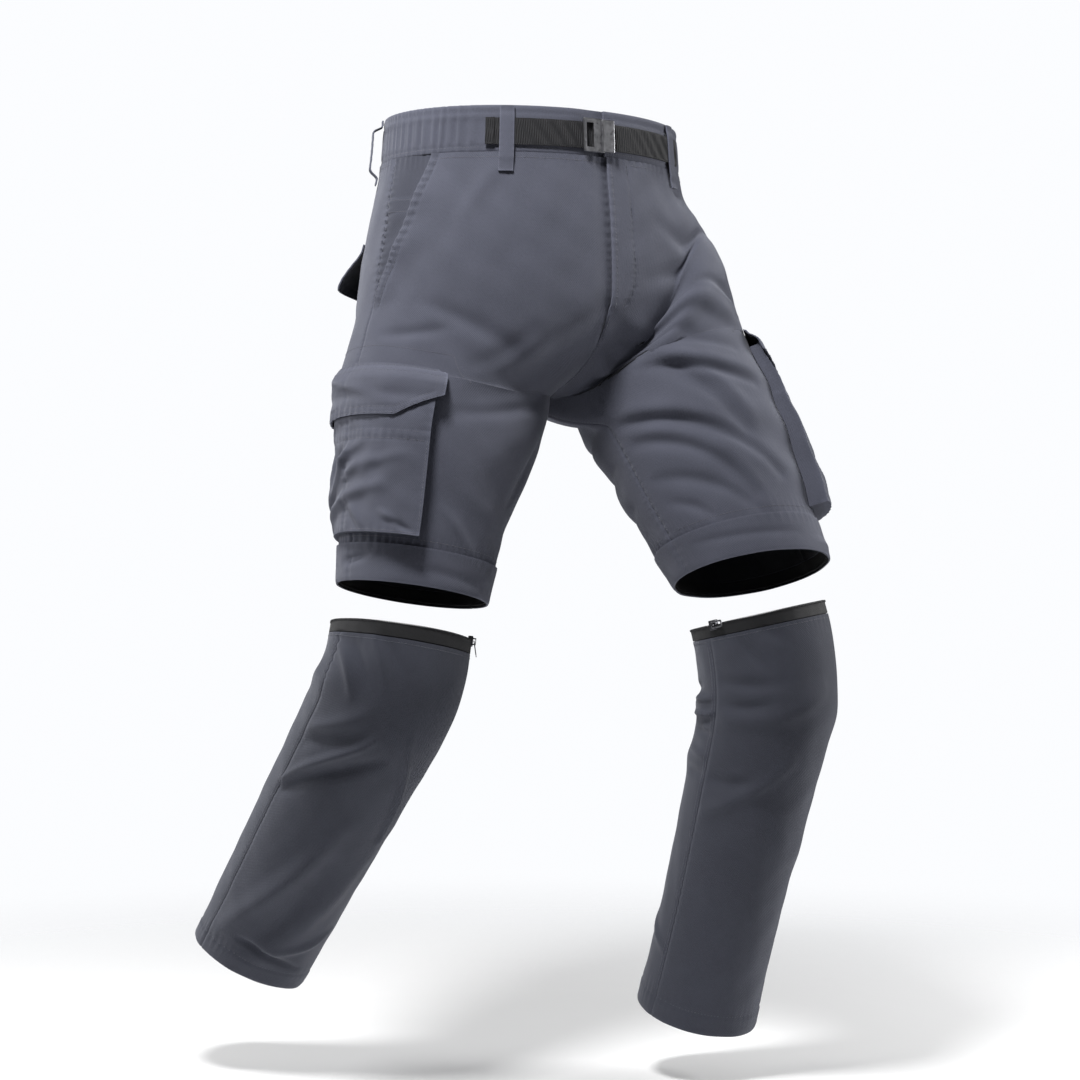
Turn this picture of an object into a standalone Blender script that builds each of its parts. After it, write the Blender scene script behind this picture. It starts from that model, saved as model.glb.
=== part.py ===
"""Convertible zip-off trousers in a walking pose, with both lower legs unzipped.

Metres, +Z up, +X towards the wearer's left, -Y to the front. The origin is the
middle of the waist, half way up the waistband.

Every cloth surface is worked out from a short table of sections. A point on it
has two coordinates: `a` goes round one half of the body, from 0 at the inner
front edge, through 1 at the side seam, to 2 at the inner back edge, and `v`
goes down the cloth in metres. The sections are first laid out standing
straight, then each thigh is turned about its hip.
"""

import math

import bmesh
import bpy
import numpy as np
from mathutils import Matrix

# Cloth and gaps
CLOTH = 0.0015
BAND_CLOTH = 0.003
KNEE_BAND_CLOTH = 0.0018
TAPE = 0.0012
WEBBING = 0.0018
GAP = 0.0003
HALF_GAP = 0.0002
SEAM = 0.00075

# Heights, as v in metres below the waistband's lower edge
BAND_DROP = 0.023
BLEND_TOP = 0.127
CROTCH = 0.232
PANEL_END = 0.436
HEM = 0.452

# Sections of the hips: v, half width, depth to the front, depth to the back
PELVIS_COLUMNS = ("v", "half_width", "front", "back")
PELVIS = (
    (-0.046, 0.166, 0.122, 0.118),
    (0.000, 0.170, 0.124, 0.122),
    (0.060, 0.181, 0.131, 0.138),
    (0.120, 0.190, 0.134, 0.150),
    (0.170, 0.193, 0.132, 0.152),
    (0.232, 0.194, 0.126, 0.146),
)

# Sections of each thigh, left (1) and right (-1): v, half width, front, back, centre out, centre back
THIGH_COLUMNS = ("v", "half_width", "front", "back", "out", "behind")
THIGH = {
    1: (
        (0.100, 0.0970, 0.1020, 0.1000, 0.0970, 0.005),
        (0.232, 0.0970, 0.1020, 0.1000, 0.0970, 0.005),
        (0.300, 0.0940, 0.0960, 0.0930, 0.0950, 0.000),
        (0.380, 0.0860, 0.0870, 0.0850, 0.0915, 0.000),
        (0.452, 0.0768, 0.0768, 0.0768, 0.0900, 0.000),
    ),
    -1: (
        (0.100, 0.0970, 0.1000, 0.1000, 0.0970, 0.005),
        (0.232, 0.0970, 0.1000, 0.1000, 0.0970, 0.005),
        (0.300, 0.0915, 0.0920, 0.0920, 0.0940, 0.000),
        (0.380, 0.0820, 0.0830, 0.0830, 0.0910, 0.000),
        (0.452, 0.0748, 0.0748, 0.0748, 0.0900, 0.000),
    ),
}

# Sections of each lower leg: distance down from its top, half width, front, back
LOWER_COLUMNS = ("down", "half_width", "front", "back")
LOWER = {
    1: (
        (0.000, 0.0695, 0.0700, 0.0700),
        (0.050, 0.0700, 0.0705, 0.0700),
        (0.120, 0.0675, 0.0680, 0.0670),
        (0.220, 0.0635, 0.0640, 0.0640),
        (0.340, 0.0610, 0.0615, 0.0615),
        (0.430, 0.0630, 0.0630, 0.0630),
    ),
    -1: (
        (0.000, 0.0705, 0.0705, 0.0705),
        (0.050, 0.0720, 0.0715, 0.0715),
        (0.120, 0.0710, 0.0700, 0.0700),
        (0.220, 0.0680, 0.0665, 0.0680),
        (0.340, 0.0650, 0.0635, 0.0650),
        (0.430, 0.0635, 0.0610, 0.0625),
    ),
}
LOWER_LENGTH = 0.430
LEG_TAPE = 0.012

# Pose of each leg. Directions are degrees forward and outward: of the thigh, of the lower leg's
# top and of the rest of it. `apart` moves the lower leg's top from the thigh's hem. `longer` drops
# a hem, and `skew` drops it on one side, at the given `a`, and raises it on the other.
HIP = (0.09, 0.0, -0.11)
THIGH_LENGTH = 0.365
POSE = {
    1: {
        "thigh": (28.2, 10.2),
        "knee": (10.5, 8.0),
        "lower": (-17.5, -1.6),
        "bend": 0.140,
        "apart": (-0.0030, -0.0127, -0.0426),
        "longer": 0.010,
        "skew": (0.020, 0.795),
        "lower_skew": (0.000, 0.000),
        "turn_from": (0.232, 0.000),
        "turn_to": (0.275, 0.170),
        "front_reach": 0.60,
        "back_reach": 0.55,
    },
    -1: {
        "thigh": (2.7, 11.6),
        "knee": (2.7, 11.6),
        "lower": (-38.0, 5.2),
        "bend": 0.095,
        "apart": (-0.0119, 0.0014, -0.0370),
        "longer": -0.011,
        "skew": (0.000, 0.000),
        "lower_skew": (-0.022, 0.705),
        "turn_from": (0.232, 0.060),
        "turn_to": (0.392, 0.270),
        "front_reach": 1.00,
        "back_reach": 1.00,
    },
}
SIDE_NAME = {1: "left", -1: "right"}
WAIST_RISE = 0.004

# Width of one unit of `a` in metres, for laying folds out
PANEL_WIDTH = 0.28

# Fuller places: side, a and v of the middle, half spans in a and v, height
FILL_COLUMNS = ("side", "a", "v", "span_a", "span_v", "height")
FILLS = ((1, 0.72, 0.105, 0.42, 0.085, 0.021),)

# Folds: side, then a and v of both ends, half width, height
FOLD_COLUMNS = ("side", "a0", "v0", "a1", "v1", "width", "height")
FOLDS = (
    (1, 0.10, 0.225, 0.80, 0.300, 0.020, 0.0045),
    (1, 0.12, 0.275, 0.86, 0.350, 0.020, 0.0050),
    (1, 0.15, 0.325, 0.80, 0.392, 0.018, 0.0040),
    (1, 0.14, 0.170, 0.62, 0.225, 0.018, 0.0035),
    (1, 1.95, 0.300, 1.35, 0.215, 0.022, 0.0045),
    (1, 1.90, 0.360, 1.30, 0.290, 0.020, 0.0035),
    (-1, 0.10, 0.215, 0.55, 0.330, 0.022, 0.0025),
    (-1, 0.15, 0.150, 0.60, 0.205, 0.020, 0.0025),
    (-1, 1.90, 0.235, 1.40, 0.330, 0.022, 0.0040),
    (-1, 1.88, 0.290, 1.45, 0.385, 0.020, 0.0035),
)
LOWER_FOLDS = (
    (1, 0.10, 0.060, 0.90, 0.100, 0.016, 0.0035),
    (1, 0.15, 0.180, 0.80, 0.240, 0.018, 0.0030),
    (1, 1.92, 0.090, 1.30, 0.120, 0.014, 0.0040),
    (1, 1.90, 0.160, 1.40, 0.170, 0.014, 0.0035),
    (-1, 0.75, 0.030, 1.25, 0.080, 0.016, 0.0040),
    (-1, 0.30, 0.190, 0.70, 0.420, 0.018, 0.0035),
    (-1, 1.80, 0.070, 1.25, 0.110, 0.014, 0.0040),
    (-1, 1.75, 0.150, 1.30, 0.160, 0.014, 0.0035),
)

# Grid lines shared by the panels and by what lies on them
FRONT_LINES = np.linspace(0.0, 1.0, 14)
BACK_LINES = np.linspace(1.0, 2.0, 14)
BLEND_ROWS = 8
LEG_ROWS = (0.245, 0.264, 0.289, 0.314, 0.339, 0.364, 0.389, 0.414)

# Slanted hand pockets and their facings
MOUTH_TOP = 0.755
MOUTH_DEPTH = 0.165
MOUTH_GAPE = ((0.045, 0.0045), (0.092, 0.0055), (0.135, 0.0040))
FACING_CLOTH = 0.0012
FACING_LAP = 0.07
FACING_DEPTH = 0.185
FACING_BEHIND = 0.0024

MOUTH_GAPE_SPAN = 0.022
MOUTH_GAPE_REACH = 0.16
FACING_ROWS = (0.0002, 0.024, 0.048, 0.072, 0.097, BLEND_TOP, 0.1475, 0.167, FACING_DEPTH)
FACING_LINES = 6
FACING_REVEAL = 0.006
FACING_SEWN = (0.145, 0.115)

# Fly: the right front runs on under the left one. The last three say where it comes up again, in
# `a` from the edge of the left front, and in v below the fly.
FLY_LAP = 0.045
FLY_DEPTH = 0.140
FLY_BEHIND = 0.0022
FLY_FADE = 0.02
FLY_RISE_A = (0.085, 0.012)
FLY_RISE_V = (0.045, 0.022)

# Waistband: degrees round from the middle of the front, positive to the wearer's left
BAND_END = -0.5
BAND_UNDER = 371.5
BAND_STEP = 6.0
GATHER_FROM = 50.0
GATHERS = 70
GATHER_HEIGHT = 0.0008
BAND_ROWS = (-0.046, -0.035, -0.012, -0.0002)
BAND_ROW_GATHER = (1.0, 0.5, 1.0, 0.0)
BAND_SINKS = (345.0, 358.0)

# Belt
BELT_ROWS = (-0.0330, -0.0065)
BELT_ANCHOR = 46.0
BELT_BUCKLE = -4.0
BELT_GAP = 0.25
BELT_LIFT = GAP + WEBBING + 0.0002
BELT_LINES = {"right": 15, "left": 17}

# Belt loops: degrees round, and how far the middle stands off the waistband
WAIST_RADIUS = 0.15
LOOP_WIDTH = 0.014
LOOP_CLOTH = 0.0012
LOOP_SEAT = 0.0016
LOOP_ROWS = (-0.0450, -0.0400, -0.0350, -0.0280, -0.0195, -0.0110, -0.0040, 0.0020, 0.0090, 0.0145, 0.0200)
LOOP_BOW = {"rises": (0.10, 0.24), "falls": (0.90, 0.74)}
LOOPS = {
    "belt_loop_front_right": (-38.0, 0.0028),
    "belt_loop_front_left": (38.0, 0.0028),
    "belt_loop_side_right": (-112.0, 0.0105),
    "belt_loop_side_left": (112.0, 0.0105),
    "belt_loop_back": (180.0, 0.0085),
}

# Back pocket flaps
BACK_FLAP = {"a": (1.30, 1.80), "v": (0.078, 0.126), "point": 0.008, "corner": 0.016,
             "sewn": 0.0007, "stand": 0.0025}

# Cargo pockets and flaps, both centred on the side seam
POCKET = {"half": 0.31, "v": (0.236, 0.392), "top": 0.011, "bottom": 0.020, "behind": 0.25, "foot": 0.0006}
FLAP = {"half": 0.33, "v": (0.215, 0.273), "chamfer_a": 0.80, "chamfer_v": 0.247,
        "clear": 0.0010, "fold": 0.021}

# Buckle, and the slider and pull on each lower leg's zip, set on one facet of its tape
BUCKLE = {"width": 0.036, "height": 0.034, "stand": 2 * GAP + WEBBING + 0.0004,
          "frame": 0.0030, "frame_width": 0.025, "frame_edge": 0.0011,
          "plate": 0.0042, "plate_width": 0.0145, "plate_height": 0.0326, "plate_edge": 0.0009,
          "plate_rise": 0.0002,
          "slot_width": 0.0085, "slot_height": 0.0245, "slot_at": 0.0072}
SLIDER = {"along": 0.0090, "down": 0.0100, "thick": 0.0050, "edge": 0.0007, "slot": 0.0022, "slot_top": 0.0007}
CUT = 0.02
BRIDGE = {"along": 0.0016, "down": 0.0070, "rise": 0.0030, "sunk": 0.0010, "slab": 0.0007, "leg": 0.0012}
PULL = {"width": 0.0075, "length": 0.0165, "thick": 0.0010, "hole": 0.0042, "bar": 0.0016, "corner": 0.0024}
ZIPS = {
    1: {"facet": 0, "turn": 90.0, "lift": 6.0},
    -1: {"facet": 2, "turn": 0.0, "lift": 14.0},
}

COLOURS = {
    "cloth": ((0.085, 0.090, 0.112), 0.85),
    "lower_cloth": ((0.078, 0.083, 0.104), 0.85),
    "facing": ((0.060, 0.064, 0.082), 0.88),
    "webbing": ((0.018, 0.018, 0.021), 0.80),
    "tape": ((0.010, 0.010, 0.012), 0.75),
    "metal": ((0.300, 0.300, 0.320), 0.35),
}


def smooth(low, high, x):
    t = np.clip((x - low) / (high - low), 0.0, 1.0)
    return t * t * (3.0 - 2.0 * t)


def along(rows, columns, name, at):
    """One column of a table at any height, as a smooth curve through its rows."""
    keys = np.array([row[0] for row in rows])
    values = np.array([row[columns.index(name)] for row in rows])
    slopes = np.gradient(values, keys)
    at = np.clip(at, keys[0], keys[-1])
    i = np.clip(np.searchsorted(keys, at) - 1, 0, len(keys) - 2)
    span = keys[i + 1] - keys[i]
    t = (at - keys[i]) / span
    rise = values[i + 1] - values[i]
    bend = slopes[i] * span - rise
    sag = slopes[i + 1] * span - rise
    return values[i] + t * rise + t * (1.0 - t) * ((1.0 - t) * bend - t * sag)


def unit(vectors):
    return vectors / np.maximum(np.linalg.norm(vectors, axis=-1, keepdims=True), 1e-12)


def leg_direction(forward, outward, side):
    tilt = np.array([side * math.tan(math.radians(outward)), -math.tan(math.radians(forward)), -1.0])
    return unit(tilt)


def turn_between(start, end):
    """Axis and angle of the smallest turn from one direction to another."""
    axis = np.cross(start, end)
    return unit(axis), math.atan2(np.linalg.norm(axis), float(start @ end))


def turned(points, axis, angle):
    """Points turned about an axis through the origin, each by its own angle."""
    angle = np.asarray(angle)[..., None]
    dot = (points @ axis)[..., None]
    return points * np.cos(angle) + np.cross(axis, points) * np.sin(angle) + axis * dot * (1.0 - np.cos(angle))


def oval(t, half_width, front, back):
    """A section of four quarter ellipses, with t from the front round to the side."""
    depth = np.where(np.cos(t) > 0.0, front, back)
    return half_width * np.sin(t), -depth * np.cos(t)


def standing_shorts(side, a, v):
    hips = [along(PELVIS, PELVIS_COLUMNS, name, v) for name in PELVIS_COLUMNS[1:]]
    thigh = {name: along(THIGH[side], THIGH_COLUMNS, name, v) for name in THIGH_COLUMNS[1:]}
    hip_x, hip_y = oval(a * math.pi / 2, *hips)
    leg_x, leg_y = oval(a * math.pi - math.pi / 2, thigh["half_width"], thigh["front"], thigh["back"])
    tau = np.clip((v - BLEND_TOP) / (CROTCH - BLEND_TOP), 0.0, 1.0)
    leg = 1.0 - np.sqrt(1.0 - tau * tau)
    x = hip_x * (1.0 - leg) + (leg_x + thigh["out"]) * leg
    y = hip_y * (1.0 - leg) + (leg_y + thigh["behind"]) * leg
    skew, skew_at = POSE[side]["skew"]
    drop = (POSE[side]["longer"] + skew * np.cos(math.pi * (a - skew_at))) * smooth(CROTCH, HEM, v)
    rise = WAIST_RISE * (0.5 + 0.5 * np.cos(a * math.pi / 2)) * smooth(0.15, 0.0, v)
    return np.stack([side * x, y, -BAND_DROP - v - drop + rise], axis=-1)


def posed_shorts(side, a, v):
    """The hips and one thigh, with the thigh turned about its hip by degrees that fade out upwards."""
    a, v = np.broadcast_arrays(np.asarray(a, float), np.asarray(v, float))
    points = standing_shorts(side, a, v)
    pose = POSE[side]
    front = smooth(0.0, pose["front_reach"], np.abs(a))
    ease = np.where(a < 1.0, front, smooth(0.0, pose["back_reach"], np.abs(2.0 - a)))
    start = pose["turn_from"][0] + (pose["turn_from"][1] - pose["turn_from"][0]) * ease
    end = pose["turn_to"][0] + (pose["turn_to"][1] - pose["turn_to"][0]) * ease
    weight = smooth(start, end, v)
    hip = np.array(HIP) * (side, 1.0, 1.0)
    down = np.array([0.0, 0.0, -1.0])
    axis, angle = turn_between(down, leg_direction(*pose["thigh"], side))
    return hip + turned(points - hip, axis, weight * angle)


def lower_frames(side):
    """Centres and turning angles down a lower leg, from the direction at its top to its own."""
    pose = POSE[side]
    steps = np.linspace(0.0, LOWER_LENGTH, 221)
    start = leg_direction(*pose["knee"], side)
    axis, angle = turn_between(start, leg_direction(*pose["lower"], side))
    angles = smooth(0.0, pose["bend"], steps) * angle
    directions = turned(np.broadcast_to(start, (len(steps), 3)), axis, angles)
    middle = (directions[1:] + directions[:-1]) / 2.0
    gaps = np.diff(steps)[:, None]
    hip = np.array(HIP) * (side, 1.0, 1.0)
    thigh = leg_direction(*pose["thigh"], side) * (THIGH_LENGTH + pose["longer"])
    top = hip + thigh + np.array(pose["apart"])
    centres = top + np.vstack([np.zeros(3), np.cumsum(middle * gaps, axis=0)])
    return steps, centres, axis, angles


LOWER_FRAMES = {side: lower_frames(side) for side in (1, -1)}


def posed_lower(side, a, d):
    a, d = np.broadcast_arrays(np.asarray(a, float), np.asarray(d, float))
    steps, centres, axis, angles = LOWER_FRAMES[side]
    section = [along(LOWER[side], LOWER_COLUMNS, name, d) for name in LOWER_COLUMNS[1:]]
    x, y = oval(a * math.pi - math.pi / 2, *section)
    ring = np.stack([side * x, y, 0.0 * x], axis=-1)
    down = np.array([0.0, 0.0, -1.0])
    lean, lean_angle = turn_between(down, leg_direction(*POSE[side]["knee"], side))
    ring = turned(ring, lean, np.full(a.shape, lean_angle))
    ring = turned(ring, axis, np.interp(d, steps, angles))
    centre = np.stack([np.interp(d, steps, centres[:, k]) for k in range(3)], axis=-1)
    skew, skew_at = POSE[side]["lower_skew"]
    askew = skew * np.cos(math.pi * (a - skew_at)) * smooth(0.25, LOWER_LENGTH, d)
    beyond = np.maximum(d - LOWER_LENGTH, 0.0) + np.minimum(d, 0.0) + askew
    way = np.where(d[..., None] > 0.0, centres[-1] - centres[-2], centres[1] - centres[0])
    return centre + ring + unit(way) * beyond[..., None]


def outward(surface, side, a, v):
    """The direction square to a surface, away from the body."""
    step_a = 0.004
    step_v = 0.001
    across = surface(side, a + step_a, v) - surface(side, a - step_a, v)
    down = surface(side, a, v + step_v) - surface(side, a, v - step_v)
    return -side * unit(np.cross(across, down))


def fold_height(folds, side, a, v, floor):
    """How far the folds lift the cloth. They fade out at the inner edges and at the top and bottom."""
    total = np.zeros(np.broadcast(a, v).shape)
    for row in folds:
        fold = dict(zip(FOLD_COLUMNS, row))
        if fold["side"] != side:
            continue
        start = np.array([fold["a0"] * PANEL_WIDTH, fold["v0"]])
        run = np.array([fold["a1"] * PANEL_WIDTH, fold["v1"]]) - start
        x = a * PANEL_WIDTH - start[0]
        y = v - start[1]
        t = np.clip((x * run[0] + y * run[1]) / (run @ run), 0.0, 1.0)
        apart = np.hypot(x - t * run[0], y - t * run[1]) / fold["width"]
        total = total + fold["height"] * np.exp(-apart * apart) * np.sin(math.pi * (0.12 + 0.76 * t))
    inner = np.minimum(np.abs(a), np.abs(2.0 - a))
    return total * smooth(0.0, 0.12, inner) * smooth(floor, floor - 0.03, v) * smooth(0.0, 0.03, v)


def shorts(side, a, v):
    a, v = np.broadcast_arrays(np.asarray(a, float), np.asarray(v, float))
    lift = fold_height(FOLDS, side, a, v, PANEL_END - 0.02)
    for row in FILLS:
        fill = dict(zip(FILL_COLUMNS, row))
        if fill["side"] == side:
            apart = ((a - fill["a"]) / fill["span_a"]) ** 2 + ((v - fill["v"]) / fill["span_v"]) ** 2
            lift = lift + fill["height"] * np.exp(-apart) * smooth(0.0, 0.06, v) * smooth(0.0, 0.2, np.abs(a))
    return posed_shorts(side, a, v) + outward(posed_shorts, side, a, v) * lift[..., None]


def lower(side, a, d):
    a, d = np.broadcast_arrays(np.asarray(a, float), np.asarray(d, float))
    lift = fold_height(LOWER_FOLDS, side, a, d, LOWER_LENGTH - 0.005)
    return posed_lower(side, a, d) + outward(posed_lower, side, a, d) * lift[..., None]


def band(turn, v):
    """The hips by degrees from the middle of the front, so that one strip can go all round."""
    turn = (np.asarray(turn, float) + 180.0) % 360.0 - 180.0
    left = shorts(1, np.abs(turn) / 90.0, v)
    right = shorts(-1, np.abs(turn) / 90.0, v)
    return np.where((turn >= 0.0)[..., None], left, right)


def band_outward(turn, v):
    across = band(turn + 0.4, v) - band(turn - 0.4, v)
    down = band(turn, v + 0.001) - band(turn, v - 0.001)
    return -unit(np.cross(across, down))


def make_material(name):
    colour, roughness = COLOURS[name]
    material = bpy.data.materials.new(name)
    material.use_nodes = True
    shader = material.node_tree.nodes["Principled BSDF"]
    shader.inputs["Base Color"].default_value = (*colour, 1.0)
    shader.inputs["Roughness"].default_value = roughness
    shader.inputs["Metallic"].default_value = 1.0 if name == "metal" else 0.0
    return material


def clear_scene():
    for obj in list(bpy.data.objects):
        bpy.data.objects.remove(obj, do_unlink=True)


clear_scene()
GARMENT = bpy.data.collections.new("zip_off_trousers")
bpy.context.scene.collection.children.link(GARMENT)
CUTTERS = bpy.data.collections.new("cutters")
bpy.context.scene.collection.children.link(CUTTERS)
CUTTERS.hide_render = True


def add_object(name, mesh, material, collection=GARMENT):
    """Each object has a material of its own, so that one can be changed alone."""
    obj = bpy.data.objects.new(name, mesh)
    own = make_material(material)
    own.name = f"{name}_{material}"
    mesh.materials.append(own)
    collection.objects.link(obj)
    if collection is CUTTERS:
        obj.hide_render = True
        obj.display_type = "WIRE"
    return obj


def wall(name, outer, inner, material, wrap=False):
    """A closed wall between two grids of points with the same rows and columns."""
    rows, columns = outer.shape[:2]
    points = np.concatenate([outer.reshape(-1, 3), inner.reshape(-1, 3)])
    other = rows * columns
    ends = columns if wrap else columns - 1
    faces = []
    for i in range(rows - 1):
        for j in range(ends):
            k = (j + 1) % columns
            quad = (i * columns + j, i * columns + k, (i + 1) * columns + k, (i + 1) * columns + j)
            faces.append(quad)
            faces.append(tuple(other + corner for corner in reversed(quad)))
    for j in range(ends):
        k = (j + 1) % columns
        last = (rows - 1) * columns
        faces.append((k, j, other + j, other + k))
        faces.append((last + j, last + k, other + last + k, other + last + j))
    if not wrap:
        for i in range(rows - 1):
            near = i * columns
            far = near + columns - 1
            faces.append((near, near + columns, other + near + columns, other + near))
            faces.append((far + columns, far, other + far, other + far + columns))
    mesh = bpy.data.meshes.new(name)
    mesh.from_pydata(points.tolist(), [], faces)
    shape = bmesh.new()
    shape.from_mesh(mesh)
    bmesh.ops.remove_doubles(shape, verts=shape.verts, dist=1e-6)
    if shape.calc_volume(signed=True) < 0.0:
        bmesh.ops.reverse_faces(shape, faces=shape.faces)
    shape.to_mesh(mesh)
    shape.free()
    return add_object(name, mesh, material)


def cloth(name, material, surface, side, a, v, lift=0.0, thick=CLOTH, shift=0.0, wrap=False):
    """A wall whose outer face is `lift` above a surface, at each pair of `a` and `v`."""
    a, v, lift = np.broadcast_arrays(a, v, lift)
    base = surface(side, a, v)
    away = outward(surface, side, a, v)
    outer = base + away * lift[..., None]
    inner = base + away * (lift - thick)[..., None]
    move = np.array([side * shift, 0.0, 0.0])
    return wall(name, outer + move, inner + move, material, wrap)


def strip(name, material, turns, rows, lift, thick):
    """A wall that follows the waist, by degrees round and metres down."""
    turns, rows, lift = np.broadcast_arrays(turns, rows, lift)
    base = band(turns, rows)
    away = band_outward(turns, rows)
    outer = base + away * lift[..., None]
    inner = base + away * (lift - thick)[..., None]
    return wall(name, outer, inner, material)


def lines_between(lines, low, high):
    """The grid lines between two edges, with the edges added."""
    inside = [line for line in lines if low + 0.012 < line < high - 0.012]
    return np.array([low, *inside, high])


def blend_rows():
    q = np.arange(1, BLEND_ROWS + 1) / BLEND_ROWS
    return BLEND_TOP + (CROTCH - BLEND_TOP) * np.sin(math.pi * q / 2)


PANEL_ROWS = np.array([0.0002, 0.024, 0.048, 0.072, 0.097, BLEND_TOP, *blend_rows(), *LEG_ROWS, PANEL_END])


def mouth_edge(v):
    """Where the slanted pocket's edge cuts the front panel."""
    return MOUTH_TOP + (1.0 - SEAM - MOUTH_TOP) * np.clip(v / MOUTH_DEPTH, 0.0, 1.0)


def front_panel(side):
    v = PANEL_ROWS[:, None]
    edge = mouth_edge(v)
    lap = smooth(FLY_DEPTH + FLY_FADE, FLY_DEPTH, v) if side < 0 else 0.0 * v
    start = SEAM - (FLY_LAP + SEAM) * lap
    u = FRONT_LINES[None, :]
    a = start + (edge - start) * u
    under = smooth(*FLY_RISE_A, a) * smooth(FLY_DEPTH + FLY_RISE_V[0], FLY_DEPTH + FLY_RISE_V[1], v)
    lift = -FLY_BEHIND * under if side < 0 else 0.0 * a
    near = smooth(MOUTH_GAPE_REACH, 0.0, edge - a)
    near = near * smooth(MOUTH_DEPTH, MOUTH_DEPTH - 0.02, v) * smooth(0.0, 0.02, v)
    for middle, rise in MOUTH_GAPE:
        lift = lift + rise * near * np.exp(-(((v - middle) / MOUTH_GAPE_SPAN) ** 2))
    cloth(f"front_{SIDE_NAME[side]}", "cloth", shorts, side, a, v, lift, shift=HALF_GAP)


def back_panel(side):
    a = BACK_LINES.copy()
    a[0] += SEAM
    a[-1] -= SEAM
    cloth(f"back_{SIDE_NAME[side]}", "cloth", shorts, side, a[None, :], PANEL_ROWS[:, None], shift=HALF_GAP)


def pocket_facing(side):
    v = np.array(FACING_ROWS)[:, None]
    start = np.minimum(mouth_edge(v) - FACING_LAP, 1.0 - SEAM - 2 * FACING_LAP)
    u = np.linspace(0.0, 1.0, FACING_LINES)[None, :]
    a = start + (1.0 - SEAM - start) * u
    mouth = mouth_edge(v) + FACING_REVEAL
    rise = smooth(0.0, 1.0, (a - mouth) / np.maximum(1.0 - mouth, 0.02)) * smooth(*FACING_SEWN, v)
    lift = -FACING_BEHIND * (1.0 - rise)
    cloth(f"pocket_facing_{SIDE_NAME[side]}", "facing", shorts, side, a, v, lift, FACING_CLOTH, HALF_GAP)


def waistband():
    """One strip from the left end, round the back, to the right end that runs under it."""
    smooth_part = np.arange(BAND_END, GATHER_FROM, BAND_STEP)
    waves = np.linspace(GATHER_FROM, 360.0 - GATHER_FROM, 2 * GATHERS + 1)
    last_part = np.append(np.arange(360.0 - GATHER_FROM + BAND_STEP, BAND_UNDER, BAND_STEP), BAND_UNDER)
    turns = np.concatenate([smooth_part, waves, last_part])
    wave = np.zeros(len(turns))
    first = len(smooth_part)
    wave[first + 1 : first + len(waves) - 1 : 2] = GATHER_HEIGHT
    rows = np.array(BAND_ROWS)
    fade = np.array(BAND_ROW_GATHER)
    under = -(BAND_CLOTH + 2 * GAP) * smooth(*BAND_SINKS, turns)
    lift = wave[None, :] * fade[:, None] + under[None, :]
    strip("waistband", "cloth", turns[None, :], rows[:, None], lift, BAND_CLOTH)


def belt():
    rows = np.array(BELT_ROWS)[:, None]
    right = np.linspace(-BELT_ANCHOR, BELT_BUCKLE - BELT_GAP, BELT_LINES["right"])[None, :]
    left = np.linspace(BELT_BUCKLE + BELT_GAP, BELT_ANCHOR, BELT_LINES["left"])[None, :]
    strip("belt_right", "webbing", right, rows, BELT_LIFT, WEBBING)
    strip("belt_left", "webbing", left, rows, BELT_LIFT, WEBBING)


def belt_loops():
    for name, (turn, stand) in LOOPS.items():
        half = math.degrees(LOOP_WIDTH / 2 / WAIST_RADIUS)
        turns = np.array([turn - half, turn, turn + half])[None, :]
        rows = np.array(LOOP_ROWS)[:, None]
        t = np.linspace(0.0, 1.0, len(LOOP_ROWS))[:, None]
        bow = smooth(*LOOP_BOW["rises"], t) * smooth(*LOOP_BOW["falls"], t)
        lift = LOOP_SEAT + LOOP_CLOTH + (stand - LOOP_SEAT) * bow
        strip(name, "cloth", turns, rows, lift, LOOP_CLOTH)


def back_flap(side):
    """A flap sewn along its top, with its outer lower corner standing off."""
    a = lines_between(BACK_LINES, *BACK_FLAP["a"])[None, :]
    top, bottom = BACK_FLAP["v"]
    across = (a - a.min()) / (a.max() - a.min())
    t = np.linspace(0.0, 1.0, 5)[:, None]
    low = bottom + BACK_FLAP["point"] * (1.0 - np.abs(2.0 * across - 1.0))
    v = top + (low - top) * t
    corner = smooth(0.45, 0.0, across) * smooth(0.15, 1.0, t)
    lift = CLOTH + BACK_FLAP["sewn"] + BACK_FLAP["stand"] * smooth(0.0, 0.5, t) + BACK_FLAP["corner"] * corner
    cloth(f"back_flap_{SIDE_NAME[side]}", "cloth", shorts, side, a, v, lift)


def pocket_depth(a, v):
    """The pocket stands out most along its front and lower edges, and lies nearly flat behind."""
    top, bottom = POCKET["v"]
    deep = POCKET["top"] + (POCKET["bottom"] - POCKET["top"]) * np.clip((v - top) / (bottom - top), 0.0, 1.0)
    back = smooth(1.0 - POCKET["half"], 1.0 + 0.6 * POCKET["half"], a)
    return deep * (1.0 + (POCKET["behind"] - 1.0) * back)


def side_lines(low, high):
    return lines_between(np.concatenate([FRONT_LINES, BACK_LINES[1:]]), low, high)


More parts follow.
